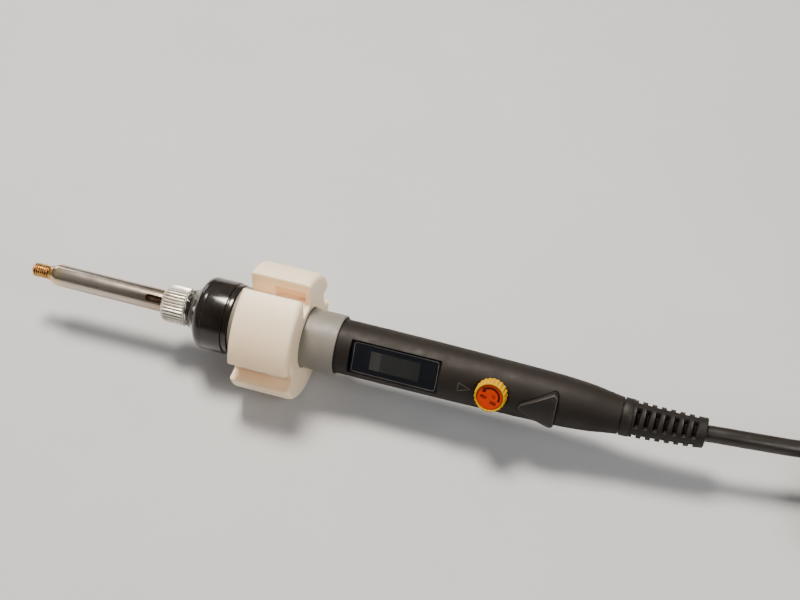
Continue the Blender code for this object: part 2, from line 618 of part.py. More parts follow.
def cord_coil(rubber):
    """Outer shape of the hank: two layers of two turns, and a fifth turn on the outer one."""
    d = CORD_DIAMETER
    inner, outer = HANK_RADIUS - d, HANK_RADIUS + d
    soft = 0.3 * d
    section = [(inner + soft, 0.0), (outer - soft, 0.0), (outer, soft), (outer, 3 * d - soft),
               (outer - soft, 3 * d), (outer - d + soft, 3 * d), (outer - d, 3 * d - soft), (outer - d, 2 * d),
               (inner + soft, 2 * d), (inner, 2 * d - soft), (inner, soft)]
    bm = bmesh.new()
    rows = []
    for radius, z in section:
        rows.append([bm.verts.new((x, y, z)) for x, y in racetrack(radius)])
    ring_rows(bm, rows, closed_rows=True)
    coil = solid("cord_coil", bm, rubber, location=(*HANK_CENTRE, 0))
    notch = block("tie_notch_cutter", (-9 * MM, -outer - 3 * MM, -1 * MM), (9 * MM, -inner + 3 * MM, 1.0 * MM),
                  rubber)
    notch.location = (*HANK_CENTRE, 0)
    boolean(coil, notch)
    return coil


def coil_tie():
    """Strap round the hank's front run, flush with the surface below."""
    d = CORD_DIAMETER
    inner = HANK_RADIUS - d - 0.95 * MM
    outer = HANK_RADIUS + d + 0.5 * MM
    thick, half_width = 0.7 * MM, 5.0 * MM
    top, step_top = 2 * d + 1.3 * MM, 3 * d + 1.3 * MM
    step = outer - d - 1.0 * MM
    hole = [(inner, thick), (outer, thick), (outer, step_top), (step, step_top), (step, top), (inner, top)]
    rim = [(inner - thick, 0.0), (outer + thick, 0.0), (outer + thick, step_top + thick),
           (step - thick, step_top + thick), (step - thick, top + thick), (inner - thick, top + thick)]
    strap = material("strap_black", (0.03, 0.03, 0.03), 0.6)
    bm = bmesh.new()
    rows = []
    for x, section in ((-half_width, rim), (half_width, rim), (half_width, hole), (-half_width, hole)):
        rows.append([bm.verts.new((x, -radius, z)) for radius, z in section])
    ring_rows(bm, rows, closed_rows=True)
    return solid("coil_tie", bm, strap, location=(*HANK_CENTRE, 0), smooth=False)


def plug():
    """Flat two-pin plug lying on the surface past the hank, pins towards +X."""
    black = material("plug_black", (0.03, 0.028, 0.027), 0.45)
    half_width, height, length, neck = 17.4 * MM, 13.7 * MM, 36.0 * MM, 5.5 * MM
    half_outline = [(0.0, neck), (16 * MM, half_width - 5 * MM), (24 * MM, half_width),
                    (length, half_width - 1.0 * MM)]
    outline = [(x, -y) for x, y in half_outline] + half_outline[::-1]
    body = prism("plug_body", outline, 0.0, height, black, location=(*PLUG_BACK, 0))
    bevel = body.modifiers.new("edges", "BEVEL")
    bevel.width = 1.6 * MM
    bevel.segments = 2
    bevel.limit_method = "ANGLE"
    bevel.angle_limit = math.radians(50)
    nickel = material("pin_nickel", (0.75, 0.72, 0.68), 0.25, 1.0)
    pin_radius, pin_length, spacing = 2.0 * MM, 19.0 * MM, 18.6 * MM
    for name, side in (("a", -1), ("b", 1)):
        bm = bmesh.new()
        bmesh.ops.create_cone(bm, cap_ends=True, segments=16, radius1=pin_radius, radius2=pin_radius,
                              depth=pin_length, matrix=Matrix.Rotation(math.pi / 2, 4, "Y"))
        ends = [f for f in bm.faces if f.normal.x > 0.9]
        bmesh.ops.bevel(bm, geom=[e for f in ends for e in f.edges], offset=0.8 * MM, segments=2,
                        affect="EDGES")
        solid(f"plug_pin_{name}", bm, nickel,
              location=(PLUG_BACK[0] + length + GAP + pin_length / 2, PLUG_BACK[1] + side * spacing / 2,
                        height / 2))


def cords():
    """The free cord: the lead from the strain relief, the tied hank and the tail to the plug."""
    rubber = material("cord_rubber", (0.03, 0.025, 0.022), 0.4)
    for name, route in (("power_cord", LEAD_ROUTE), ("cord_tail", TAIL_ROUTE)):
        steps = len(route) - 1
        points = [[c * MM for c in catmull_rom(route, k)] for k in range(steps + 1)]
        tube(name, points, CORD_DIAMETER / 2, rubber)
    cord_coil(rubber)
    coil_tie()
    plug()


def build():
    clear_scene()
    tool = empty("tool_axis", location=(0, 0, AXIS_HEIGHT))
    control_face = empty("control_face", roll=face_roll(FACE_ANGLE), parent=tool)
    button_face = empty("button_face", roll=face_roll(BUTTON_ANGLE), parent=tool)
    soldering_tip(tool)
    tip_sleeve(tool)
    tip_nut(tool)
    threaded_neck(tool)
    heat_shield(tool)
    heater(tool)
    mounting_collar(tool)
    front_body(tool)
    handle_shell(tool, control_face, button_face)
    display(control_face)
    knob_set(control_face)
    button_set(button_face)
    electronics(tool, control_face)
    strain_relief(tool)
    cords()


build()
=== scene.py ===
"""Looks for the soldering iron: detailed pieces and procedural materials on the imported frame.

Lengths are in mm, except in node settings, lights, the camera and the floor, which are in metres.
A station, s, is a place along the tool: 0 at the cord end of the strain relief, TOTAL at the tip.
"""
import math

import bmesh
import bpy
from mathutils import Matrix, Vector

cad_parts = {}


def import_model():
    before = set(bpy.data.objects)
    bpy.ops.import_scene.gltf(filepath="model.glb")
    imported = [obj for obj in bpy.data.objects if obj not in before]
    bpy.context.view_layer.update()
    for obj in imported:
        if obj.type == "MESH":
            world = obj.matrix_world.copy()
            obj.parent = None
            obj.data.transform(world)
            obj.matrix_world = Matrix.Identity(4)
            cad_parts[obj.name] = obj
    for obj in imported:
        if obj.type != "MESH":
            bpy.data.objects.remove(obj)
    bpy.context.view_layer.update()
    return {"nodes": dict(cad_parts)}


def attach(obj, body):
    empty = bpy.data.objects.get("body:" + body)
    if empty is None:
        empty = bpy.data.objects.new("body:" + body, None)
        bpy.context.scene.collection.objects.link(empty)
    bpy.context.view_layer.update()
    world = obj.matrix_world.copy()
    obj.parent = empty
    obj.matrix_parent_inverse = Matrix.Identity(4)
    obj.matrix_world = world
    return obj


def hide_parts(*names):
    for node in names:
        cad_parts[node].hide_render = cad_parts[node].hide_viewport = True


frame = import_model()

MM = 0.001                                       # in metres
TOTAL = 244.3                                    # length of the iron without its cord
COLLAR_RADIUS = 22.65
AXIS_HEIGHT = COLLAR_RADIUS * math.cos(math.pi / 48)     # the CAD collar lies on one of its 48 flats
KNOB_S = 70.85                                   # the dial's axis
LENS_TOP = 7.0                                   # height of the window's face over the tool's axis
# degrees round the tool, from -Y, the display's side, upwards
FACE_ANGLE, BUTTON_ANGLE, VENT_ANGLE, RELIEF_ANGLE, POCKET_ANGLE = 34.0, 21.0, 55.0, 59.0, 94.0


def at(s):
    """A station's x."""
    return TOTAL / 2 - s


def world(x, y, z):
    """Tool coordinates (x along the tool, y and z across it) as a point in the frame, in metres."""
    return Vector((x, y, z + AXIS_HEIGHT)) * MM


def on_face(angle, x, y, h):
    """A point on a face turned to `angle` round the tool: x along, y across, h out of the axis."""
    a = math.radians(angle)
    return world(x, -h * math.cos(a) + y * math.sin(a), h * math.sin(a) + y * math.cos(a))


def outward(angle):
    a = math.radians(angle)
    return Vector((0.0, -math.cos(a), math.sin(a)))


def round_tool(s, angle, radius):
    a = math.radians(angle)
    return world(at(s), -radius * math.cos(a), radius * math.sin(a))


def ease(t):
    t = min(1.0, max(0.0, t))
    return t * t * (3 - 2 * t)


def put(name, data):
    obj = bpy.data.objects.new(name, data)
    bpy.context.scene.collection.objects.link(obj)
    return obj


# ---- camera
def add_camera():
    """The photograph's camera, fitted to the handle's and the collar's outlines."""
    right = Vector((0.95543, 0.29521, 0.0))
    forward = Vector((-0.18464, 0.59757, -0.78027))
    up = right.cross(forward)
    data = bpy.data.cameras.new("camera")
    data.sensor_width = 36.0
    data.lens = 56.9
    data.clip_start = 0.02
    data.clip_end = 20.0
    pose = Matrix((right, up, -forward)).transposed().to_4x4()
    pose.translation = Vector((0.09268, -0.24468, 0.37520))
    camera = put("camera", data)
    camera.matrix_world = pose
    bpy.context.scene.camera = camera


# ---- nodes
class Nodes:
    """Builds the node tree of a new material, or of the world."""

    def __init__(self, name, world=False):
        self.mat = (bpy.data.worlds if world else bpy.data.materials).new(name)
        self.mat.use_nodes = True
        self.tree = self.mat.node_tree
        self.shader = self.tree.nodes["Background" if world else "Principled BSDF"]
        self.coords = self.add("ShaderNodeTexCoord").outputs["Generated" if world else "Object"]

    def feed(self, node_input, value):
        """Links a socket to the input, or sets the input to a plain value."""
        if isinstance(value, bpy.types.NodeSocket):
            self.tree.links.new(value, node_input)
        else:
            node_input.default_value = value

    def add(self, kind, inputs=None, **settings):
        node = self.tree.nodes.new(kind)
        for key, value in settings.items():
            setattr(node, key, value)
        for key, value in (inputs or {}).items():
            self.feed(node.inputs[key], value)
        return node

    def set(self, **values):
        """Feeds the shader's own inputs, such as Coat_Weight=0.3."""
        for key, value in values.items():
            self.feed(self.shader.inputs[key.replace("_", " ")], value)

    def noise(self, scale, detail=3.0, rough=0.5, stretch=None):
        spot = self.coords
        if stretch:
            spot = self.add("ShaderNodeMapping", {"Vector": spot, "Scale": stretch}).outputs["Vector"]
        values = {"Vector": spot, "Scale": scale, "Detail": detail, "Roughness": rough}
        return self.add("ShaderNodeTexNoise", values).outputs["Fac"]

    def wave(self, scale, axis, distortion=0.0):
        values = {"Vector": self.coords, "Scale": scale, "Distortion": distortion}
        return self.add("ShaderNodeTexWave", values, bands_direction=axis).outputs["Fac"]

    def ramp(self, source, stops):
        node = self.add("ShaderNodeValToRGB", {"Fac": source})
        points = node.color_ramp.elements
        while len(points) < len(stops):
            points.new(0.5)
        for point, (spot, colour) in zip(points, stops):
            point.position = spot
            point.color = (*colour, 1.0)
        return node.outputs["Color"]

    def spread(self, source, low, high, start=0.3, stop=0.7):
        """Maps start..stop to low..high, clamped; the defaults suit noise."""
        values = {"Value": source, "From Min": start, "From Max": stop, "To Min": low, "To Max": high}
        return self.add("ShaderNodeMapRange", values).outputs["Result"]

    def maths(self, kind, first, second):
        return self.add("ShaderNodeMath", {0: first, 1: second}, operation=kind).outputs["Value"]

    def mix(self, factor, first, colour):
        values = {"Factor": factor, "A": first, "B": (*colour, 1.0)}
        return self.add("ShaderNodeMix", values, data_type="RGBA").outputs["Result"]

    def along(self, axis):
        return self.add("ShaderNodeSeparateXYZ", {"Vector": self.coords}).outputs[axis]

    def bump(self, *layers, edge=0.0):
        """Stacks (height source, depth in metres) bumps, over softened edges if `edge` is set."""
        normal = None
        if edge:
            normal = self.add("ShaderNodeBevel", {"Radius": edge}, samples=6).outputs["Normal"]
        for source, depth in layers:
            values = {"Height": source, "Distance": depth, "Strength": 1.0}
            if normal:
                values["Normal"] = normal
            normal = self.add("ShaderNodeBump", values).outputs["Normal"]
        self.set(Normal=normal)


# ---- materials
def shade(colour, amount):
    return tuple(min(1.0, c * amount) for c in colour)


def plastic(name, colour, roughness, grain=0.000006, vary=0.35, dust=0.0, edge=0.0, gloss=0.5):
    """Moulded plastic: fine spark-eroded grain, uneven sheen, slight wear and specks of dust."""
    n = Nodes(name)
    stops = [(0.3, shade(colour, 1 - vary * 0.5)), (0.72, shade(colour, 1 + vary * 0.6))]
    tone = n.ramp(n.noise(60.0, 4.0, 0.6), stops)
    if dust:
        specks = n.spread(n.noise(2400.0, 1.0, 0.4), 0.0, dust, 0.76, 0.82)
        tone = n.mix(specks, tone, (0.42, 0.38, 0.33))
    sheen = n.spread(n.noise(220.0, 5.0, 0.65), roughness - 0.07, roughness + 0.09)
    n.set(Base_Color=tone, Roughness=sheen, Specular_IOR_Level=gloss)
    n.bump((n.noise(5200.0, 2.0, 0.6), grain), (n.noise(700.0, 3.0, 0.5), grain * 1.5), edge=edge)
    return n.mat


def metal(name, colour, roughness, streak=(1.0, 1.0, 1.0), tint=None, shine=1.0):
    """Plated or polished metal with fine machining marks and small stains."""
    n = Nodes(name)
    stops = [(0.30, tint or shade(colour, 0.78)), (0.52, colour), (0.80, shade(colour, 1.06))]
    marks = n.noise(900.0, 4.0, 0.6, streak)
    n.set(Metallic=shine, Base_Color=n.ramp(n.noise(150.0, 5.0, 0.65), stops),
          Roughness=n.spread(marks, roughness * 0.75, roughness * 1.45))
    n.bump((marks, 0.000003))
    return n.mat


def collar_material(name, tones):
    """Translucent warm white print, fine layer lines across the tool, and painted shade: warmer and a little
    darker towards the floor.
    """
    n = Nodes(name)
    # painted shade: by height the tone runs from the warmer, darker low colour to the paler top one
    height = n.spread(n.along("Z"), 0.0, 0.75, 0.0, 0.045)
    patches = n.maths("MULTIPLY", n.noise(38.0, 3.0, 0.5), 0.25)
    tone = n.ramp(n.maths("ADD", height, patches), list(zip((0.25, 0.62, 0.95), tones)))
    strands = n.noise(500.0, 3.0, 0.55, (6.0, 1.0, 1.0))
    n.set(Base_Color=tone, Roughness=n.spread(strands, 0.34, 0.54),
          Subsurface_Weight=0.5, Subsurface_Scale=0.004, Subsurface_Radius=(1.0, 0.62, 0.36))
    n.bump((n.wave(800.0, "X", 0.4), 0.000012), (strands, 0.00002), (n.noise(160.0, 2.0, 0.5), 0.00006))
    return n.mat


def brass_material(name, colour):
    n = Nodes(name)
    n.set(Metallic=1.0, Roughness=n.spread(n.noise(900.0, 3.0, 0.6), 0.22, 0.42),
          Base_Color=n.ramp(n.noise(300.0, 4.0, 0.6), [(0.32, shade(colour, 0.72)), (0.60, colour)]))
    n.bump((n.noise(2600.0, 2.0, 0.6), 0.000004))
    return n.mat


def sleeve_material():
    """Brushed steel, straw-coloured towards the tip and stained where the nut bears on it."""
    n = Nodes("sleeve_steel")
    along = n.spread(n.along("X"), 0.0, 1.0, at(236.2) * MM, at(192.0) * MM)
    wobble = n.maths("ADD", along, n.spread(n.noise(70.0, 4.0), -0.06, 0.06))
    tone = n.ramp(wobble, [(0.00, (0.72, 0.56, 0.34)), (0.08, (0.58, 0.49, 0.41)), (0.35, (0.57, 0.49, 0.42)),
                           (0.80, (0.54, 0.46, 0.39)), (1.00, (0.42, 0.32, 0.23))])
    n.set(Metallic=1.0, Base_Color=tone, Roughness=n.spread(n.noise(120.0, 3.0, 0.6), 0.21, 0.28))
    rings = n.noise(900.0, 4.0, 0.6, (14.0, 1.0, 1.0))
    scratches = n.noise(1200.0, 2.0, 0.5, (0.15, 3.0, 3.0))
    n.bump((rings, 0.0000012), (scratches, 0.0000008))
    return n.mat


def nose_material():
    n = Nodes("nose_gloss")
    tones = [(0.3, (0.006, 0.0047, 0.004)), (0.8, (0.016, 0.0125, 0.010))]
    n.set(Coat_Weight=0.35, Coat_Roughness=0.06, Specular_IOR_Level=0.35,
          Base_Color=n.ramp(n.noise(80.0, 4.0, 0.6), tones),
          Roughness=n.spread(n.noise(240.0, 5.0, 0.65), 0.12, 0.27))
    n.bump((n.noise(700.0, 3.0, 0.5, (5.0, 1.0, 1.0)), 0.000003), (n.noise(3000.0, 2.0, 0.6), 0.000002))
    return n.mat


def window_material():
    n = Nodes("window_gloss")
    tones = [(0.3, (0.005, 0.006, 0.009)), (0.8, (0.010, 0.011, 0.014))]
    n.set(Coat_Weight=0.3, Base_Color=n.ramp(n.noise(60.0), tones),
          Roughness=n.spread(n.noise(300.0, 5.0, 0.7), 0.05, 0.13))
    n.bump((n.noise(90.0, 2.0), 0.000006))
    return n.mat


def lcd_material(s0, s1):
    """The unlit display: a paler strip at its tip end, from station s0, and dark glass up to s1."""
    n = Nodes("lcd_glass")
    along = n.spread(n.along("X"), 0.0, 1.0, at(s0) * MM, at(s1) * MM)
    tone = n.ramp(along, [(0.0, (0.034, 0.034, 0.033)), (0.19, (0.040, 0.040, 0.038)),
                          (0.23, (0.021, 0.022, 0.022)), (1.0, (0.017, 0.018, 0.018))])
    n.set(Coat_Weight=0.5, Base_Color=tone, Roughness=n.spread(n.noise(220.0, 4.0), 0.10, 0.22))
    return n.mat


def cord_material():
    n = Nodes("cord_jacket")
    tones = [(0.3, (0.010, 0.008, 0.007)), (0.75, (0.022, 0.018, 0.015))]
    n.set(Specular_IOR_Level=0.42, Base_Color=n.ramp(n.noise(90.0, 4.0, 0.6), tones),
          Roughness=n.spread(n.noise(260.0, 5.0, 0.6), 0.27, 0.44))
    n.bump((n.noise(3200.0, 2.0, 0.6), 0.000008), (n.noise(240.0, 3.0, 0.5), 0.00004))
    return n.mat


def strap_material():
    n = Nodes("strap_weave")
    weave = n.maths("MULTIPLY", n.wave(520.0, "X"), n.wave(520.0, "Y"))
    tones = [(0.1, (0.015, 0.015, 0.016)), (0.7, (0.055, 0.054, 0.054))]
    n.set(Roughness=0.75, Sheen_Weight=0.4, Base_Color=n.ramp(weave, tones))
    n.bump((weave, 0.00006), (n.noise(4200.0, 3.0, 0.6), 0.00004))
    return n.mat


def floor_material():
    n = Nodes("floor_paper")
    tones = [(0.3, (0.49, 0.50, 0.515)), (0.7, (0.52, 0.53, 0.545))]
    n.set(Roughness=0.85, Base_Color=n.ramp(n.noise(9.0, 4.0, 0.6), tones))
    n.bump((n.noise(1500.0, 3.0, 0.6), 0.00003))
    return n.mat


# ---- mesh helpers
def mesh_from(bm, name):
    mesh = bpy.data.meshes.new(name)
    bm.to_mesh(mesh)
    bm.free()
    return mesh


def set_sharp(obj, angle):
    obj.data.shade_smooth()
    obj.data.set_sharp_from_angle(angle=math.radians(angle))


def place(obj, body, node=None):
    """Rides on a body and replaces `node`, a CAD node or a list of them."""
    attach(obj, body)
    if node:
        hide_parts(*([node] if isinstance(node, str) else node))
    return obj


def skin(name, rows, wrap=False, ends=False):
    """An object skinned over rows of points, where a row of one point is a pole.

    wrap joins the last row to the first, and ends closes both of them with a face.
    """
    bm = bmesh.new()
    made = [[bm.verts.new(p) for p in row] for row in rows]
    pairs = list(zip(made, made[1:]))
    if wrap:
        pairs.append((made[-1], made[0]))
    for low, high in pairs:
        count = max(len(low), len(high))
        for i in range(count):
            j = (i + 1) % count
            if len(low) == 1:
                bm.faces.new((low[0], high[i], high[j]))
            elif len(high) == 1:
                bm.faces.new((low[i], high[0], low[j]))
            else:
                bm.faces.new((low[i], high[i], high[j], low[j]))
    if ends:
        bm.faces.new(made[0])
        bm.faces.new(made[-1])
    bmesh.ops.recalc_face_normals(bm, faces=bm.faces)
    return put(name, mesh_from(bm, name))


def loft(name, rows, mat, body, node=None, sharp=40.0, wrap=False, ends=False):
    """A skinned piece with its material, smooth but for edges over `sharp` degrees."""
    obj = skin(name, rows, wrap, ends)
    obj.data.materials.append(mat)
    set_sharp(obj, sharp)
    return place(obj, body, node)


def turned(name, outline, mat, node, segments=96, sharp=40.0, thread=None, body="handle"):
    """Turned from an outline of (station, radius); thread(s, angle) gives a radius that is None."""
    rows = []
    for s, r in outline:
        if r == 0.0:
            rows.append([world(at(s), 0, 0)])
            continue
        angles = [360.0 * i / segments for i in range(segments)]
        rows.append([round_tool(s, a, thread(s, a) if r is None else r) for a in angles])
    on_axis = outline[0][1] == 0.0 and outline[-1][1] == 0.0
    return loft(name, rows, mat, body, node, sharp=sharp, wrap=not on_axis)


def face_loft(name, levels, middle, mat, body, node=None, sharp=32.0):
    """Skins (outline, height) levels on the display's face, and closes both ends at x = middle."""
    levels = [([(middle, 0)], levels[0][1]), *levels, ([(middle, 0)], levels[-1][1])]
    rows = [[on_face(FACE_ANGLE, x, y, h) for x, y in outline] for outline, h in levels]
    return loft(name, rows, mat, body, node, sharp)


def soften(outline, cuts, steps=4):
    """Rounds the outline's corners; cuts gives each corner's setback, 0 for none."""
    out = []
    for i, (point, cut_back) in enumerate(zip(outline, cuts)):
        if not cut_back:
            out.append(point)
            continue
        p = Vector(point)
        a = Vector(outline[i - 1]) - p
        b = Vector(outline[(i + 1) % len(outline)]) - p
        start = p + a.normalized() * min(cut_back, a.length * 0.49)
        stop = p + b.normalized() * min(cut_back, b.length * 0.49)
        for k in range(steps + 1):
            t = k / steps
            out.append(tuple(start * (1 - t) ** 2 + p * 2 * t * (1 - t) + stop * t ** 2))
    return out


def circle(radius, count, x=0.0):
    angles = (2 * math.pi * i / count for i in range(count))
    return [(x + radius * math.cos(a), radius * math.sin(a)) for a in angles]


def hull(centres, radius, steps=12):
    """Outline round equal circles at the corners of a convex, counter-clockwise polygon."""
    outline = []
    for i, (x, y) in enumerate(centres):
        before = Vector((x, y)) - Vector(centres[i - 1])
        after = Vector(centres[(i + 1) % len(centres)]) - Vector((x, y))
        first = math.atan2(-before.x, before.y)
        turn = (math.atan2(-after.x, after.y) - first) % (2 * math.pi)
        for k in range(steps + 1):
            a = first + turn * k / steps
            outline.append((x + radius * math.cos(a), y + radius * math.sin(a)))
    return outline


def rounded_box(s0, s1, half, inset, radius, steps):
    """Hull of circles that lie `inset` in from the stations s0 and s1, and `half` off the middle."""
    x0, x1 = at(s0) + inset, at(s1) - inset
    return hull([(x0, -half), (x1, -half), (x1, half), (x0, half)], radius, steps)


def even(outline, step):
    """The same closed outline with points every `step` mm or so."""
    out = []
    for i, start in enumerate(outline):
        a, b = Vector(start), Vector(outline[(i + 1) % len(outline)])
        parts = max(1, round((b - a).length / step))
        for k in range(parts):
            p = tuple(a.lerp(b, k / parts))
            if not out or (Vector(p) - Vector(out[-1])).length > step * 0.12:
                out.append(p)
    return out


def side_normals(outline):
    """Unit normals of a closed, counter-clockwise outline, pointing out of it."""
    sides = []
    for i in range(len(outline)):
        a, b = Vector(outline[i - 1]), Vector(outline[(i + 1) % len(outline)])
        sides.append(Vector(((b - a).y, -(b - a).x)).normalized())
    return sides


def cutter(rows):
    return skin("cutter", rows, ends=True)


def face_cutter(angle, outline, low, high):
    return cutter([[on_face(angle, x, y, h) for x, y in outline] for h in (low, high)])


def bake(obj):
    """Applies an object's modifiers to its mesh."""
    graph = bpy.context.evaluated_depsgraph_get()
    mesh = bpy.data.meshes.new_from_object(obj.evaluated_get(graph))
    obj.modifiers.clear()
    obj.data = mesh


def cut(obj, *tools):
    """Cuts the tools out with exact booleans and removes them."""
    for tool in tools:
        modifier = obj.modifiers.new("cut", "BOOLEAN")
        modifier.operation = "DIFFERENCE"
        modifier.object = tool
        modifier.solver = "EXACT"
    bake(obj)
    for tool in tools:
        bpy.data.objects.remove(tool, do_unlink=True)


def paint(obj, mat, chosen):
    """Gives another material to the faces whose middle, as (station, y, z), is `chosen`."""
    obj.data.materials.append(mat)
    for face in obj.data.polygons:
        x, y, z = face.center / MM
        if chosen(TOTAL / 2 - x, y, z - AXIS_HEIGHT):
            face.material_index = len(obj.data.materials) - 1


def ribbon(name, points, normals, width, proud, mat, body, closed=True):
    """A printed line: a flat strip along points, `proud` mm off the surface and a little sunk in it."""
    sunk = 0.06
    rows = []
    for i, (p, n) in enumerate(zip(points, normals)):
        before = points[i - 1] if closed or i else p
        after = points[(i + 1) % len(points)] if closed or i + 1 < len(points) else p
        side = (after - before).cross(n).normalized() * (width / 2 * MM)
        up, down = n * proud * MM, n * sunk * MM
        rows.append([p + side + up, p - side + up, p - side - down, p + side - down])
    return loft(name, rows, mat, body, wrap=closed, ends=not closed)


# ---- the handle's profile
PROFILE = ((28.0, 6.35), (31.0, 6.8), (37.6, 7.8), (45.8, 8.5), (54.0, 8.85), (71.0, 9.15), (88.0, 9.4),
           (105.0, 9.525), (131.1, 9.525))


def catmull_rom(points, t):
    i = min(int(t), len(points) - 2)
    f = t - i
    p1, p2 = points[i], points[i + 1]
    p0 = points[i - 1] if i > 0 else [2 * a - b for a, b in zip(p1, p2)]
    p3 = points[i + 2] if i + 2 < len(points) else [2 * b - a for a, b in zip(p1, p2)]
    return [0.5 * (2 * b + (c - a) * f + (2 * a - 5 * b + 4 * c - d) * f ** 2
                   + (3 * b - a - 3 * c + d) * f ** 3) for a, b, c, d in zip(p0, p1, p2, p3)]


def handle_radius(s):
    for i, (here, there) in enumerate(zip(PROFILE, PROFILE[1:])):
        if s <= there[0]:
            return catmull_rom(PROFILE, i + (s - here[0]) / (there[0] - here[0]))[1]
    return PROFILE[-1][1]


# ---- cord
CORD_D = 5.8
LEAD = ((122.5, 1.42, 22.60), (129.0, 2.08, 22.55), (136.0, 2.85, 22.35), (143.0, 3.75, 22.00),
        (150.0, 4.85, 21.40), (156.0, 6.35, 20.55))
TAIL = ((286.4, 6.65, 4.84), (288.8, 5.71, 5.43), (291.3, 4.98, 5.98), (293.8, 4.45, 6.42),
        (296.4, 4.13, 6.73), (298.8, 4.02, 6.85))
PLUG_BACK = (299.1, 4.02, 6.85)
HANK_X, HANK_Y, HANK_RUN = 222.5, -4.4, 72.0     # the tied hank's centre and its straight runs
HANK_R = 3.6 * CORD_D                            # middle of its turns at the rounded ends
HALF_TURN = math.pi * HANK_R
LAP = 2 * HANK_RUN + 2 * HALF_TURN               # once round the hank
LANDING = 50 * math.pi / 180 * HANK_R            # where the cord comes on it, from the near end's middle
FIRST_TURN = 230.0                               # run before the first change of place
STEP_DOWN = 45.0                                 # a turn changes place over this length
CELLS = ((0.5, 2.5), (0.5, 1.5), (-0.5, 1.5), (-0.5, 0.5), (0.5, 0.5))    # across and up, in cords
STRAP_LIFT = 1.0                                 # the strap holds the turns this far off the floor,
STRAP_LEVEL, STRAP_FALL = 7.0, 22.0              # level this near to it, and down over the next stretch


def hank_point(run):
    """Point `run` mm along the hank: a turn on top, then two turns above and two below."""
    across, up = CELLS[0]
    for k, (here, there) in enumerate(zip(CELLS, CELLS[1:])):
        t = ease((run - FIRST_TURN - k * (LAP - STEP_DOWN)) / STEP_DOWN)
        across += (there[0] - here[0]) * t
        up += (there[1] - here[1]) * t
    radius = HANK_R + across * CORD_D
    left = (run + LANDING) % LAP
    from_strap = abs(left - HALF_TURN * 1.5 - HANK_RUN * 1.5)
    z = CORD_D * up + STRAP_LIFT * (1 - ease((from_strap - STRAP_LEVEL) / STRAP_FALL))
    for side, first, arc in ((-1, 180.0, HALF_TURN / 2), (1, 90.0, HALF_TURN), (-1, -90.0, HALF_TURN)):
        if left <= arc:
            a = math.radians(first) - left / HANK_R
            return Vector((HANK_X + side * HANK_RUN / 2 + radius * math.cos(a),
                           HANK_Y + radius * math.sin(a), z))
        left -= arc
        if left <= HANK_RUN:
            return Vector((HANK_X + (HANK_RUN / 2 - left) * side, HANK_Y - side * radius, z))
        left -= HANK_RUN


def hermite(start, leave, stop, arrive, t):
    """A smooth curve from start to stop; leave and arrive are its slopes there."""
    return (start * (2 * t ** 3 - 3 * t ** 2 + 1) + leave * (t ** 3 - 2 * t ** 2 + t)
            + stop * (3 * t ** 2 - 2 * t ** 3) + arrive * (t ** 3 - t ** 2))


def bridge(route, stop, beyond, parts):
    """Points that lead smoothly from the route's end to `stop`, from where it goes on to `beyond`."""
    start = route[-1]
    reach = (stop - start).length
    leave = (start - route[-2]).normalized() * reach
    arrive = (beyond - stop).normalized() * reach
    return [hermite(start, leave, stop, arrive, k / parts) for k in range(1, parts)]


def cord_route():
    """Centreline: out of the strain relief, down on the hank, round it, and to the plug."""
    steps, spacing = 4, 2.6                      # points for each stretch of the lead, mm in the hank
    route = [Vector((120.4, 1.22, 22.60))]
    route += [Vector(catmull_rom(LEAD, k / steps)) for k in range((len(LEAD) - 1) * steps + 1)]
    landing = len(route) - 1
    slope = (route[-1] - route[-2]).normalized().z
    route += bridge(route, hank_point(0.0), hank_point(0.5), 9)
    last_arc = math.radians(122.0) * HANK_R + HANK_RUN      # the last turn leaves past the far end's start
    whole = 4 * LAP + last_arc - LANDING
    count = round(whole / spacing)
    route += [hank_point(whole * k / count) for k in range(count + 1)]

    top, ramp = CORD_D * CELLS[0][1], 48.0       # the cord comes down to the top turn over this length
    travelled, drop = 0.0, route[landing].z - top
    for before, here in zip(route[landing:], route[landing + 1:]):
        travelled += math.hypot(here.x - before.x, here.y - before.y)
        if travelled >= ramp:
            break
        here.z = top + hermite(drop, slope * ramp, 0.0, 0.0, travelled / ramp)
    tail = [Vector(point) for point in TAIL]
    return route + bridge(route, tail[0], tail[1], 7) + tail


def add_cord():
    route = cord_route()
    length = sum((b - a).length for a, b in zip(route, route[1:])) * MM
    curve = bpy.data.curves.new("cord", "CURVE")
    curve.dimensions = "3D"
    curve.bevel_depth = CORD_D / 2 * MM
    curve.bevel_resolution = 6
    curve.use_fill_caps = True
    spline = curve.splines.new("POLY")
    spline.points.add(len(route) - 1)
    for spot, point in zip(spline.points, route):
        spot.co = (*(point * MM), 1.0)
    curve.materials.append(cord_material())
    cord = place(put("cord", curve), "handle", ["power_cord", "cord_coil", "cord_tail"])
    return cord, length


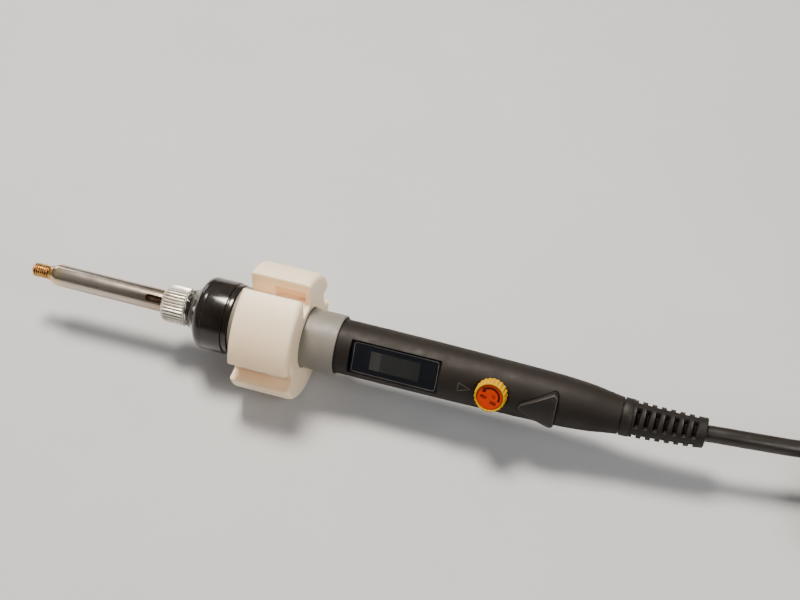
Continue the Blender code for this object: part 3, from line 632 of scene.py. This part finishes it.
def add_strap():
    """Hook-and-loop strap pulled tight round the hank's front run, its end lapped on top."""
    near, far = HANK_R - CORD_D / 2, HANK_R + CORD_D / 2
    low = CORD_D / 2 + STRAP_LIFT
    corners = [(near, low), (far, low), (far, low + 2 * CORD_D)]
    rim = even(hull(corners, CORD_D / 2 + 0.25, 10), 0.8)
    sides = side_normals(rim)

    def point(x, grow, i):
        r, z = Vector(rim[i]) + sides[i] * grow
        return Vector((HANK_X + x, HANK_Y - r, z)) * MM

    half, edge = 5.0, 0.2
    profile = ((-half, 0.1), (-half, 0.6), (edge - half, 0.7), (half - edge, 0.7), (half, 0.6), (half, 0.1),
               (half - edge, 0.0), (edge - half, 0.0))
    rows = [[point(x, grow, i) for i in range(len(rim))] for x, grow in profile]
    weave = strap_material()
    strap = loft("strap", rows, weave, "handle", "coil_tie", wrap=True)
    half -= 0.35
    section = ((-half, 0.72), (-half, 1.15), (edge - half, 1.25), (half - edge, 1.25), (half, 1.15),
               (half, 0.72))
    slanted = [i for i, (r, z) in enumerate(rim) if near - 1.0 < r < far - 1.5 and z > low + 2]
    columns = [[point(x, grow, i) for x, grow in section] for i in slanted]
    loft("strap_end", columns, weave, "handle", ends=True)
    return strap


# ---- plug
def superellipse(half_y, half_z, power, count):
    """Oval outline, squarer the higher its power is."""
    share = 2 / power
    return [(half_y * math.copysign(abs(c) ** share, c), half_z * math.copysign(abs(s) ** share, s))
            for c, s in circle(1.0, count)]


def add_plug():
    """Flat two-pin plug with a ribbed neck and finger grips, its pins towards +X."""
    back = Vector(PLUG_BACK)
    neck_rings, body_rings, grips = 9, 22, 9
    stations = []                                # along x: half width, half height, squareness
    for k in range(neck_rings):
        stations.append((0.4 + k * 0.9, 4.0 if k % 2 else 4.9, 3.9 if k % 2 else 4.6, 2.4))
    for k in range(body_rings):
        t = k / (body_rings - 1)
        wide = 6.2 + 11.1 * ease((t - 0.02) / 0.72)
        grip = 0.35 * (1 - math.cos(2 * math.pi * t * grips)) / 2 if 0.25 < t < 0.72 else 0.0
        stations.append((8.6 + 26.4 * t, wide - grip, 5.1 + 1.65 * ease(t / 0.5), 3.0 + 2.0 * ease(t * 1.6)))
    stations += [(35.6, 16.9, 6.5, 5.0), (35.95, 16.3, 6.1, 5.0)]
    rows = [[(back + Vector((0.2, 0, 0))) * MM]]
    for x, half_y, half_z, power in stations:
        ring = superellipse(half_y, half_z, power, 48)
        rows.append([(back + Vector((x, y, z))) * MM for y, z in ring])
    rows.append([(back + Vector((stations[-1][0], 0, 0))) * MM])
    black = plastic("plug_moulding", (0.020, 0.018, 0.017), 0.42, dust=0.5)
    plug = loft("plug", rows, black, "handle", "plug_body", sharp=50.0)

    nickel = metal("pin_nickel", (0.78, 0.74, 0.70), 0.2, (0.2, 1.0, 1.0))
    face, apart, collar = 36.0, 9.3, 9.65        # the plug's face, a pin's place, its insulated part
    outline = [(0.1, 0.0), (0.1, 2.0), (9.6, 2.0), (9.8, 1.85), (16.9, 1.85), (18.2, 1.55), (18.9, 0.95),
               (19.1, 0.0)]
    for name, side in (("a", -1), ("b", 1)):
        rows = []
        for x, r in outline:
            centre = back + Vector((face + x, side * apart, 0))
            ring = circle(r, 32) if r else [(0, 0)]
            rows.append([(centre + Vector((0, y, z))) * MM for y, z in ring])
        pin = loft(f"pin_{name}", rows, nickel, "handle", f"plug_pin_{name}", sharp=35.0)
        paint(pin, black, lambda s, y, z: at(s) < back.x + face + collar)
    return plug


# ---- nose pieces
def add_tip():
    """Brass stud with a cut thread, on a neck that comes out of the sleeve."""
    pitch, root, crest, start, stop, steps = 0.8, 2.08, 2.5, 238.3, TOTAL, 96
    outline = [(232.0, 0.0), (232.0, 2.6), (215.0, 2.6), (215.0, 3.25), (234.8, 3.25), (235.0, 2.95),
               (236.4, 2.95), (236.8, 2.8), (237.7, 2.75), (238.0, 2.2)]
    outline += [(start + (stop - 0.25 - start) * k / steps, None) for k in range(steps + 1)]
    outline += [(stop - 0.05, 1.95), (stop, 1.75), (stop, 0.9), (stop - 0.35, 0.5), (stop - 0.35, 0.0)]
    flat, flank = 0.18, 0.62                     # a crest's and a flank's share of half a turn

    def thread(s, angle):
        phase = ((s - start) / pitch - angle / 360.0) % 1.0
        tooth = min(1.0, max(0.0, (abs(phase - 0.5) * 2 - flat) / flank))
        fade = ease((s - start) / 0.8) * ease((stop - s) / 0.7)
        return root + (crest - root) * (1 - tooth) * (0.35 + 0.65 * fade)

    brass = brass_material("tip_brass", (0.80, 0.46, 0.15))
    tip = turned("tip", outline, brass, "soldering_tip", 64, 70.0, thread, "sleeve")
    paint(tip, brass_material("tip_brass_roots", (0.26, 0.125, 0.04)),
          lambda s, y, z: start < s < stop - 0.3 and 1.9 < math.hypot(y, z) < 2.25)


def add_sleeve():
    """Steel tube with a flange under the nut, a rolled end and a vent slot."""
    outline = [(190.0, 3.6), (190.0, 5.6), (190.8, 5.6), (190.8, 4.0), (234.3, 4.0), (234.6, 3.96),
               (236.0, 3.42), (236.2, 3.30), (236.2, 3.15), (236.0, 3.1), (235.2, 3.1), (235.2, 3.6)]
    sleeve = turned("sleeve", outline, sleeve_material(), "tip_sleeve", sharp=30.0, body="sleeve")
    half = 1.15
    vent = hull([(at(199.1) + half, 0.0), (at(193.2), 0.0)], half, 14)
    cut(sleeve, face_cutter(VENT_ANGLE, vent, 2.0, 6.0))
    set_sharp(sleeve, 30.0)


def add_nut():
    """Knurled nut; the outline's third number is the share of the knurl's depth."""
    teeth, per_tooth, deep, s0, s1 = 36, 8, 0.45, 183.1, 192.0
    outline = [(s0, 6.15, 0), (s0, 6.2, 0), (s0 + 0.05, 6.35, 0), (s0 + 0.35, 6.62, 0.5),
               (s0 + 0.55, 6.83, 1.0), (s0 + 3.0, 6.83, 1.0), (s0 + 5.6, 6.83, 1.0), (s1 - 1.05, 6.83, 1.0),
               (s1 - 0.85, 6.72, 0.7), (s1 - 0.7, 6.5, 0.0), (s1 - 0.45, 6.42, 0), (s1 - 0.12, 6.2, 0),
               (s1, 5.95, 0), (s1, 4.5, 0), (s1 - 0.15, 4.3, 0), (191.1, 4.3, 0), (191.1, 6.15, 0)]
    rows = []
    for s, r, knurl in outline:
        row = []
        for i in range(teeth * per_tooth):
            wave = abs(((i / per_tooth) % 1.0) * 2 - 1)
            dip = deep * knurl * (1 - min(1.0, wave * 1.5))
            row.append(round_tool(s, 360.0 * i / (teeth * per_tooth), r - dip))
        rows.append(row)
    nickel = metal("nut_nickel", (0.90, 0.85, 0.76), 0.36, (6.0, 1.0, 1.0), (0.66, 0.57, 0.45), 0.85)
    nut = loft("nut", rows, nickel, "nut", "tip_nut", sharp=38.0, wrap=True)
    # the knurl's grooves are painted in a darker metal
    groove_tone = metal("nut_grooves", (0.22, 0.17, 0.13), 0.5, (2.0, 1.0, 1.0), (0.10, 0.07, 0.05))
    paint(nut, groove_tone, lambda s, y, z: 183.5 < s < 191.2 and 6.3 < math.hypot(y, z) < 6.58)


def add_neck():
    """Chromed neck with a real helical thread outside the nose."""
    start, stop, pitch, root, depth, steps = 182.05, 189.6, 1.0, 5.35, 0.5, 90
    outline = [(start, 4.6)]
    outline += [(start + 0.1 + (stop - 0.2 - start) * k / steps, None) for k in range(steps + 1)]
    outline += [(stop, 5.2), (stop, 3.4), (173.8, 3.4), (173.8, 6.8), (175.0, 6.8), (175.0, 4.6)]

    def thread(s, angle):
        phase = ((s - start) / pitch - angle / 360.0) % 1.0
        return root + depth * (1 - abs(phase - 0.5) * 2)

    chrome = metal("neck_chrome", (0.76, 0.75, 0.74), 0.12, (6.0, 1.0, 1.0), (0.55, 0.42, 0.30))
    turned("neck", outline, chrome, "threaded_neck", 64, 50.0, thread)


def add_nose():
    """Glossy flange: spigot, rear ring, groove, cylinder with a fine line, shoulder, cone, nose ring."""
    corners = ((150.5, 8.4, 0.2), (164.5, 8.4, 0.3), (164.5, 12.6, 0.25), (165.8, 12.7, 0.15),
               (165.95, 12.25, 0.08), (166.5, 12.25, 0.08), (166.65, 13.0, 0.15), (173.9, 13.0, 0.02),
               (174.0, 12.9, 0), (174.15, 12.9, 0), (174.25, 13.0, 0.02), (175.2, 13.0, 0.4),
               (176.2, 12.72, 0.5), (177.1, 11.9, 0.6), (178.6, 9.55, 0.8), (180.0, 7.75, 0.6),
               (180.9, 7.05, 0.2), (181.2, 7.0, 0.08), (181.75, 6.9, 0.2), (181.75, 4.9, 0.2),
               (175.3, 4.9, 0), (175.3, 7.2, 0), (150.5, 7.2, 0.2))
    outline = soften([(s, r) for s, r, _ in corners], [cut_back for *_, cut_back in corners])
    turned("nose", outline, nose_material(), "heat_shield", 128, 35.0)


# ---- collar and grey body
def add_collar():
    """White printed collar: rounded rims, three keyways with rounded lips, a pocket in the top one."""
    rear, front, bore = 138.35, 159.85, 10.9
    outline = [(rear, bore), (rear, COLLAR_RADIUS), (front, COLLAR_RADIUS), (front, bore)]
    outline = soften(outline, [0.3, 2.2, 1.3, 0.3], 8)
    dense = []
    for a, b in zip(outline, outline[1:] + outline[:1]):
        parts = max(1, int((Vector(b) - Vector(a)).length / 2.5))
        dense += [tuple(Vector(a).lerp(Vector(b), k / parts)) for k in range(parts)]
    printed = collar_material("collar_print", ((0.95, 0.74, 0.53), (0.97, 0.73, 0.49), (0.98, 0.82, 0.62)))
    collar = turned("collar", dense, printed, "mounting_collar", 144)

    lip, tools = 1.0, []
    for angle, width, floor in ((1.0, 8.4, 16.8), (POCKET_ANGLE, 7.2, 13.4), (181.0, 9.0, 16.4)):
        half = width / 2
        mouth = math.sqrt(COLLAR_RADIUS ** 2 - half ** 2)
        side = [(half, floor)]
        for k in range(7):
            t = math.radians(90 * k / 6)
            side.append((half + lip * (1 - math.cos(t)), mouth - lip + lip * math.sin(t) + 0.15))
        side.append((half + lip, COLLAR_RADIUS + 3))
        section = side + [(-y, h) for y, h in side[::-1]]
        tools.append(cutter([[on_face(angle, x, y, h) for y, h in section]
                             for x in (at(rear - 2), at(front + 2))]))
    wall = 3.6                                   # the keyway's side, where the pocket starts
    pocket = [(at(151.4), 13.7), (at(140.5), 13.7), (at(140.5), 18.4), (at(151.4), 18.4)]
    tools.append(cutter([[on_face(POCKET_ANGLE, x, y, h) for x, h in pocket]
                         for y in (wall - 1.0, wall + 1.6)]))
    cut(collar, *tools)
    remesh = collar.modifiers.new("remesh", "REMESH")
    remesh.mode = "VOXEL"
    remesh.voxel_size = 0.00028
    smooth = collar.modifiers.new("smooth", "SMOOTH")
    smooth.factor = 0.5
    smooth.iterations = 2
    bake(collar)
    collar.data.shade_smooth()
    turn = Matrix.Rotation(math.radians(POCKET_ANGLE - 90.0), 3, "X")

    def in_pocket(s, y, z):
        _, y, z = turn @ Vector((0, y, z))
        return 140.3 < s < 151.6 and wall + 0.15 < y < wall + 2.0 and 13.5 < z < 18.6

    # painted shade: a darker, warmer copy of the print on the faces of the pocket in the top keyway
    pocket_shade = collar_material("collar_pocket_shade", ((0.92, 0.65, 0.42), (0.94, 0.66, 0.42), (0.95, 0.70, 0.46)))
    paint(collar, pocket_shade, in_pocket)


def add_front_ring():
    """Warm-grey sleeve between the nose and the handle."""
    outline = [(126.3, 9.85), (126.3, 10.6), (160.2, 10.6), (160.2, 12.3), (164.2, 12.3), (164.2, 8.7),
               (131.4, 8.7), (131.4, 9.85)]
    outline = soften(outline, [0.12, 0.35, 0.3, 0.25, 0.3, 0.2, 0, 0])
    grey = plastic("ring_grey", (0.165, 0.155, 0.133), 0.48, vary=0.12)
    turned("front_ring", outline, grey, "front_body", 112)


# ---- handle
def button_outline(clearance=0.0):
    """Rounded triangle that points at the knob."""
    corner, apex_s, side_s, half = 1.5, 61.4, 48.9, 6.7
    side, reach = at(side_s) - corner, half - corner
    centres = [(at(apex_s) + corner, 0.0), (side, -reach), (side, reach)]
    return hull(centres, corner + clearance, 14)


def add_shell():
    """Tapered handle shell with its window, dial seat and button hole cut through."""
    wall, steps, (first, _), (last, widest) = 1.6, 74, PROFILE[0], PROFILE[-1]
    outer = [(s, handle_radius(s)) for s in (first + (last - first) * k / steps for k in range(steps + 1))]
    inner = [(first, 4.5), (31.5, 4.5), (31.5, 5.3)] + [(s, r - wall) for s, r in outer if s > 32.5][::3]
    inner.append((last, widest - wall))
    outline = [(27.95, 6.1), (28.1, 6.36)] + outer[1:] + inner[::-1]
    black = plastic("handle_black", (0.0125, 0.0095, 0.0076), 0.56, grain=0.000007, dust=0.15, edge=0.00025,
                    gloss=0.22)
    shell = turned("shell", outline, black, "handle_shell", 128)
    knob_x, outside = at(KNOB_S), 12.0
    window, seat = rounded_box(121.2, 89.3, 5.7, 0.35, 0.35, 5), circle(5.95, 72, knob_x)
    cut(shell, face_cutter(FACE_ANGLE, window, 6.05, outside), face_cutter(FACE_ANGLE, seat, 8.6, outside),
        face_cutter(FACE_ANGLE, circle(3.5, 40, knob_x), 5.0, 9.0),
        face_cutter(BUTTON_ANGLE, button_outline(0.15), 0.3, outside))
    set_sharp(shell, 35.0)


def add_pointer():
    """Printed outline of a small triangle that points at the knob."""
    middle, radius, points, normals = 30.5, handle_radius(80.0), [], []
    for s, y in even([(82.4, -1.5), (78.2, 0.0), (82.4, 1.5)], 0.25):
        angle = middle + math.degrees(y / radius)
        points.append(round_tool(s, angle, handle_radius(s)))
        normals.append(outward(angle))
    ink = plastic("pointer_ink", (0.085, 0.075, 0.066), 0.6, vary=1.2, grain=0.00001)
    ribbon("pointer_mark", points, normals, 0.18, 0.02, ink, "handle")


def add_display():
    """Glossy window with its printed frame and the dark display behind it."""
    low, s0, s1 = 6.35, 120.9, 89.6
    levels = []
    for inset, h in ((-0.27, low - 0.2), (-0.27, low - 0.02), (0.0, low), (0.0, LENS_TOP - 0.12),
                     (0.05, LENS_TOP - 0.03), (0.14, LENS_TOP), (0.30, LENS_TOP)):
        levels.append((rounded_box(s0, s1, 5.25, 0.5, 0.5 - inset, 6), h))
    middle = (at(s0) + at(s1)) / 2
    face_loft("window", levels, middle, window_material(), "handle", "display_lens", sharp=30.0)

    border = even(rounded_box(119.9, 90.4, 4.4, 0.8, 0.9, 8), 1.0)
    points = [on_face(FACE_ANGLE, x, y, LENS_TOP) for x, y in border]
    ink = plastic("border_ink", (0.115, 0.105, 0.10), 0.5, vary=1.0, grain=0.000008)
    ribbon("window_border", points, [outward(FACE_ANGLE)] * len(points), 0.17, 0.015, ink, "handle")

    s0, s1 = 114.0, 96.5
    screen = rounded_box(s0, s1, 3.15, 0.2, 0.2, 4)
    levels = [(screen, LENS_TOP - 0.05), (screen, LENS_TOP + 0.012)]
    face_loft("lcd_screen", levels, at(105.25), lcd_material(s0, s1), "handle", sharp=30.0)


def add_button():
    """Curved triangular button with a rounded rim, its top flatter than the handle."""
    outline = even(button_outline(), 0.45)
    sides = side_normals(outline)
    centre = Vector((at(53.6), 0.0))
    flat, proud, rim, base = 2.3, 1.2, 0.42, 3.9         # flat is added to the handle's radius

    def on_button(x, y, drop=0.0):
        radius = handle_radius(TOTAL / 2 - x) + proud + flat
        return on_face(BUTTON_ANGLE, x, y, math.sqrt(radius * radius - y * y) - flat - drop)

    rows = [[on_face(BUTTON_ANGLE, centre.x, 0, base)],
            [on_face(BUTTON_ANGLE, x, y, base) for x, y in outline]]
    for k in range(7):
        a = math.radians(90 * k / 6)
        inset, drop = rim * (1 - math.cos(a)), rim * (1 - math.sin(a))
        rows.append([on_button(*(Vector(point) - side * inset), drop)
                     for point, side in zip(outline, sides)])
    for t in (0.88, 0.76, 0.64, 0.52, 0.40, 0.28, 0.16, 0.07):
        rows.append([on_button(*(centre + (Vector(point) - side * rim - centre) * t))
                     for point, side in zip(outline, sides)])
    rows.append([on_button(*centre)])
    black = plastic("button_black", (0.0115, 0.0095, 0.0085), 0.50, grain=0.000008, dust=0.25, gloss=0.3)
    button = loft("button", rows, black, "button", "power_button", sharp=42.0)
    # painted highlight: a paler copy of the black plastic for the top of the rim
    rim_highlight = plastic("button_rim_highlight", (0.060, 0.050, 0.042), 0.6, vary=1.1, grain=0.00001, gloss=0.3)
    button.data.materials.append(rim_highlight)
    for face in button.data.polygons:            # the upper rows of the rounded rim, which carry the painted highlight
        if all(5 <= (v - 1) // len(outline) <= 7 for v in face.vertices):
            face.material_index = 1


# ---- knob
def add_knob():
    x0, flutes, count, deep = at(KNOB_S), 22, 220, 0.36
    levels = ((8.9, 3.3, 0.0), (8.9, 5.1, 0.3), (9.0, 5.4, 0.8), (9.15, 5.45, 1.0), (10.5, 5.42, 1.0),
              (12.0, 5.36, 1.0), (12.85, 5.30, 1.0), (13.12, 5.24, 0.85), (13.33, 5.12, 0.5),
              (13.46, 4.95, 0.2), (13.5, 4.8, 0.0), (13.5, 4.68, 0.0), (13.42, 4.58, 0.0),
              (13.2, 4.55, 0.0), (12.3, 4.55, 0.0))        # height, radius, share of the flutes' depth
    rings = [(circle(3.3, count, x0), 11.0)]
    for h, radius, flute in levels:
        ring = []
        for i in range(count):
            a = 2 * math.pi * i / count
            r = radius - deep * flute + deep * flute * abs(math.sin(flutes * a / 2)) ** 1.4
            ring.append((x0 + r * math.cos(a), r * math.sin(a)))
        rings.append((ring, h))
    yellow = plastic("knob_yellow", (0.54, 0.295, 0.0), 0.6, grain=0.000004, vary=0.08, gloss=0.03)
    face_loft("knob_cap", rings, x0, yellow, "dial_knob", "knob")

    top = 13.1
    rings = [(circle(radius, 72, x0), h)
             for h, radius in ((12.6, 4.2), (12.62, 4.25), (13.02, 4.25), (top, 4.17))]
    orange = plastic("dial_orange", (0.50, 0.030, 0.0), 0.45, grain=0.000005, vary=0.14, gloss=0.18)
    face_loft("dial", rings, x0, orange, "dial_knob", "knob_dial")

    ink = plastic("dial_ink", (0.040, 0.004, 0.002), 0.55, vary=0.5, gloss=0.2)
    add_arrow(x0, top, ink)
    for name, text, x, y, size in (("dial_high", "450", -2.15, -0.25, 1.5),
                                   ("dial_unit", "°C", 1.25, 0.35, 1.25),
                                   ("dial_low", "200", 1.35, -1.85, 1.5)):
        add_print(name, text, x0 + x, y, top + 0.01, size, ink)


def add_arrow(x0, top, ink):
    """The scale's arrow on the dial: an arc and a triangular head."""
    arc = [math.radians(-18 + 146 * k / 40) for k in range(41)]
    points = [on_face(FACE_ANGLE, x0 + 3.2 * math.cos(a), 3.2 * math.sin(a), top) for a in arc]
    ribbon("dial_arrow_arc", points, [outward(FACE_ANGLE)] * len(points), 0.8, 0.02, ink, "dial_knob",
           closed=False)
    head = [(r * math.cos(math.radians(a)), r * math.sin(math.radians(a)))
            for r, a in ((3.0, 157), (2.2, 128), (4.05, 128))]
    rows = [[on_face(FACE_ANGLE, x0 + x, y, h) for x, y in head] for h in (top - 0.05, top + 0.02)]
    loft("dial_arrow_head", rows, ink, "dial_knob", ends=True)


def add_print(name, text, x, y, h, size, mat):
    """Numbers printed on the dial, slightly turned, as raised ink only a few hundredths of a mm thick."""
    tilt = -15.0
    font = bpy.data.curves.new(name, "FONT")
    font.body = text
    font.size = size * MM
    font.align_x = font.align_y = "CENTER"
    font.extrude = 0.02 * MM
    font.offset = 0.055 * MM
    font.resolution_u = 3
    label = put(name, font)
    out = outward(FACE_ANGLE)
    up = Vector((0, out.z, -out.y))
    turn = Matrix.Rotation(math.radians(tilt), 3, out)
    pose = Matrix((turn @ Vector((1, 0, 0)), turn @ up, out)).transposed().to_4x4()
    pose.translation = on_face(FACE_ANGLE, x, y, h)
    graph = bpy.context.evaluated_depsgraph_get()
    mesh = bpy.data.meshes.new_from_object(label.evaluated_get(graph))
    bpy.data.objects.remove(label, do_unlink=True)
    mesh.transform(pose)
    mesh.materials.clear()
    mesh.materials.append(mat)
    place(put(name, mesh), "dial_knob")


# ---- strain relief
def add_relief():
    """Tapered strain relief: four rows of seven rounded slots between ribs, a ring at each end."""
    count, length = 128, 27.7
    first, pitch, last_slot = 4.0, 3.1, 6        # the slots along it, in mm
    half_slot, half_long = 32.0, 0.83            # half a slot: degrees round the relief, mm along it
    side, end = 0.35, 0.42                       # widths of the slopes down into a slot
    lip, lip_width = 0.11, 0.22

    def shift(s):
        """How far its axis lies off the tool's."""
        return 1.4 * max(0.0, 1 - s / length) ** 2

    def radius_at(s, angle):
        """Slots sunk to the core, each with a slight lip round it."""
        outer = 5.1 + 1.35 * min(1.0, s / length)
        core = 3.7 + 0.7 * s / length
        near = abs((angle - RELIEF_ANGLE + 45.0) % 90.0 - 45.0)
        across = (half_slot - near) * math.pi / 180 * outer
        slot = min(last_slot, max(0, round((s - first) / pitch)))
        along = half_long - abs(s - first - pitch * slot)
        inside = min(across, along)
        if inside > 0:
            return outer + (core - outer) * ease(min(across / side, along / end))
        return outer + lip * math.exp(-(inside / lip_width) ** 2)

    def ring(s, radius):
        return [world(at(s), shift(s) - y, z) for y, z in circle(radius, count)]

    cord_end = ((3.0, 3.0), (0.4, 3.0), (0.1, 3.1), (0.0, 3.35), (0.0, 4.55), (0.06, 4.85), (0.2, 5.03))
    handle_end = ((24.0, 6.28), (24.1, 6.14), (24.3, 6.14), (24.4, 6.36), (24.55, 6.45), (27.4, 6.5),
                  (27.6, 6.42), (27.7, 6.2), (27.72, 5.85), (27.92, 5.85), (27.92, 4.2), (31.8, 4.2),
                  (31.8, 5.0), (33.3, 5.0))
    rows = [[world(at(3.0), shift(3.0), 0)]] + [ring(*spot) for spot in cord_end]
    for s in (0.35 + 0.1 * k for k in range(236)):
        row = []
        for i in range(count):
            angle = 360.0 * i / count
            r, a = radius_at(s, angle), math.radians(angle)
            row.append(world(at(s), shift(s) - r * math.cos(a), r * math.sin(a)))
        rows.append(row)
    rows += [ring(*spot) for spot in handle_end] + [[world(at(33.3), 0, 0)]]
    rubber = plastic("relief_rubber", (0.0105, 0.0085, 0.0075), 0.52, grain=0.000007, dust=0.15, gloss=0.26)
    relief = loft("relief", rows, rubber, "handle", "strain_relief")
    # painted shade: a near-black copy of the rubber on the slots' floors, down by the core
    slot_shade = plastic("relief_slot_shade", (0.006, 0.005, 0.005), 0.8, gloss=0.1)
    paint(relief, slot_shade, lambda s, y, z: 2.5 < s < 24.0
          and math.hypot(y - shift(s), z) < 4.2 + 0.7 * s / length)


# ---- inner parts
def dress_inner_parts():
    """Materials for the sealed parts that are shown as packed."""
    looks = (
        (plastic("ceramic", (0.80, 0.77, 0.70), 0.5, vary=0.1, grain=0.00001), "heater_holder"),
        (plastic("board", (0.012, 0.12, 0.05), 0.42, vary=0.3), "circuit_board"),
        (plastic("moulded_dark", (0.025, 0.025, 0.025), 0.5), "tactile_switch", "triac", "controller_chip",
         "pot_shaft", "switch_plunger"),
        (plastic("display_back", (0.05, 0.055, 0.05), 0.35), "lcd_module"),
        (metal("pressed_can", (0.62, 0.61, 0.58), 0.35), "potentiometer_body"),
        (plastic("dipped_red", (0.42, 0.07, 0.04), 0.35, vary=0.2), "film_capacitor"),
        (plastic("fuse_tube", (0.55, 0.50, 0.42), 0.35, vary=0.2), "fuse"),
        (plastic("wire_red", (0.48, 0.03, 0.02), 0.4, vary=0.2), "heater_wire_a", "mains_wire_a"),
        (plastic("wire_blue", (0.03, 0.10, 0.42), 0.4, vary=0.2), "heater_wire_b", "mains_wire_b"),
        (metal("heater_can", (0.30, 0.20, 0.14), 0.4), "heater_element"))
    for mat, *names in looks:
        for name in names:
            materials = frame["nodes"][name].data.materials
            materials.clear()
            materials.append(mat)


# ---- floor and lights
def add_floor():
    bm = bmesh.new()
    bmesh.ops.create_grid(bm, x_segments=8, y_segments=8, size=1.4)
    floor = put("floor", mesh_from(bm, "floor"))
    floor.data.materials.append(floor_material())


def add_lights():
    """Three square lights aimed at the middle of the iron."""
    for name, location, size, energy, colour in (
            ("key", (-0.16, 0.20, 0.85), 0.24, 15.5, (1.0, 0.91, 0.80)),
            ("fill", (0.62, -0.35, 0.62), 0.45, 4.0, (1.0, 0.985, 0.96)),
            ("back", (-0.7, 0.55, 0.35), 0.35, 1.6, (0.96, 0.98, 1.0))):
        data = bpy.data.lights.new(name, "AREA")
        data.size, data.energy, data.color = size, energy, colour
        light = put(name, data)
        light.location = location
        aim = Vector((0.0, 0.0, 0.02)) - Vector(location)
        light.rotation_euler = aim.to_track_quat("-Z", "Y").to_euler()


def add_sky():
    """Grey studio whose brightness goes by height, with a dark warm patch that the window reflects."""
    n = Nodes("studio", world=True)
    greys = ((0.0, 1.1), (0.50, 1.0), (0.545, 0.30), (0.60, 0.16), (0.72, 0.48), (0.84, 0.78), (1.0, 0.58))
    height = n.spread(n.along("Z"), 0.0, 1.0, -1.0, 1.0)
    sky = n.ramp(height, [(spot, (grey,) * 3) for spot, grey in greys])
    towards = {0: n.coords, 1: (0.18, -0.62, 0.76)}
    facing = n.add("ShaderNodeVectorMath", towards, operation="DOT_PRODUCT").outputs["Value"]
    patch = n.spread(facing, 0.0, 1.0, 0.74, 0.90)
    n.set(Color=n.mix(patch, sky, (0.105, 0.058, 0.030)), Strength=0.42)
    bpy.context.scene.world = n.mat


# ---- build
add_camera()
cord, cord_length = add_cord()
strap = add_strap()
plug = add_plug()
add_shell()
add_pointer()
add_display()
add_button()
add_knob()
add_relief()
add_front_ring()
add_collar()
add_nose()
add_neck()
add_nut()
add_sleeve()
add_tip()
dress_inner_parts()
add_floor()
add_lights()
add_sky()
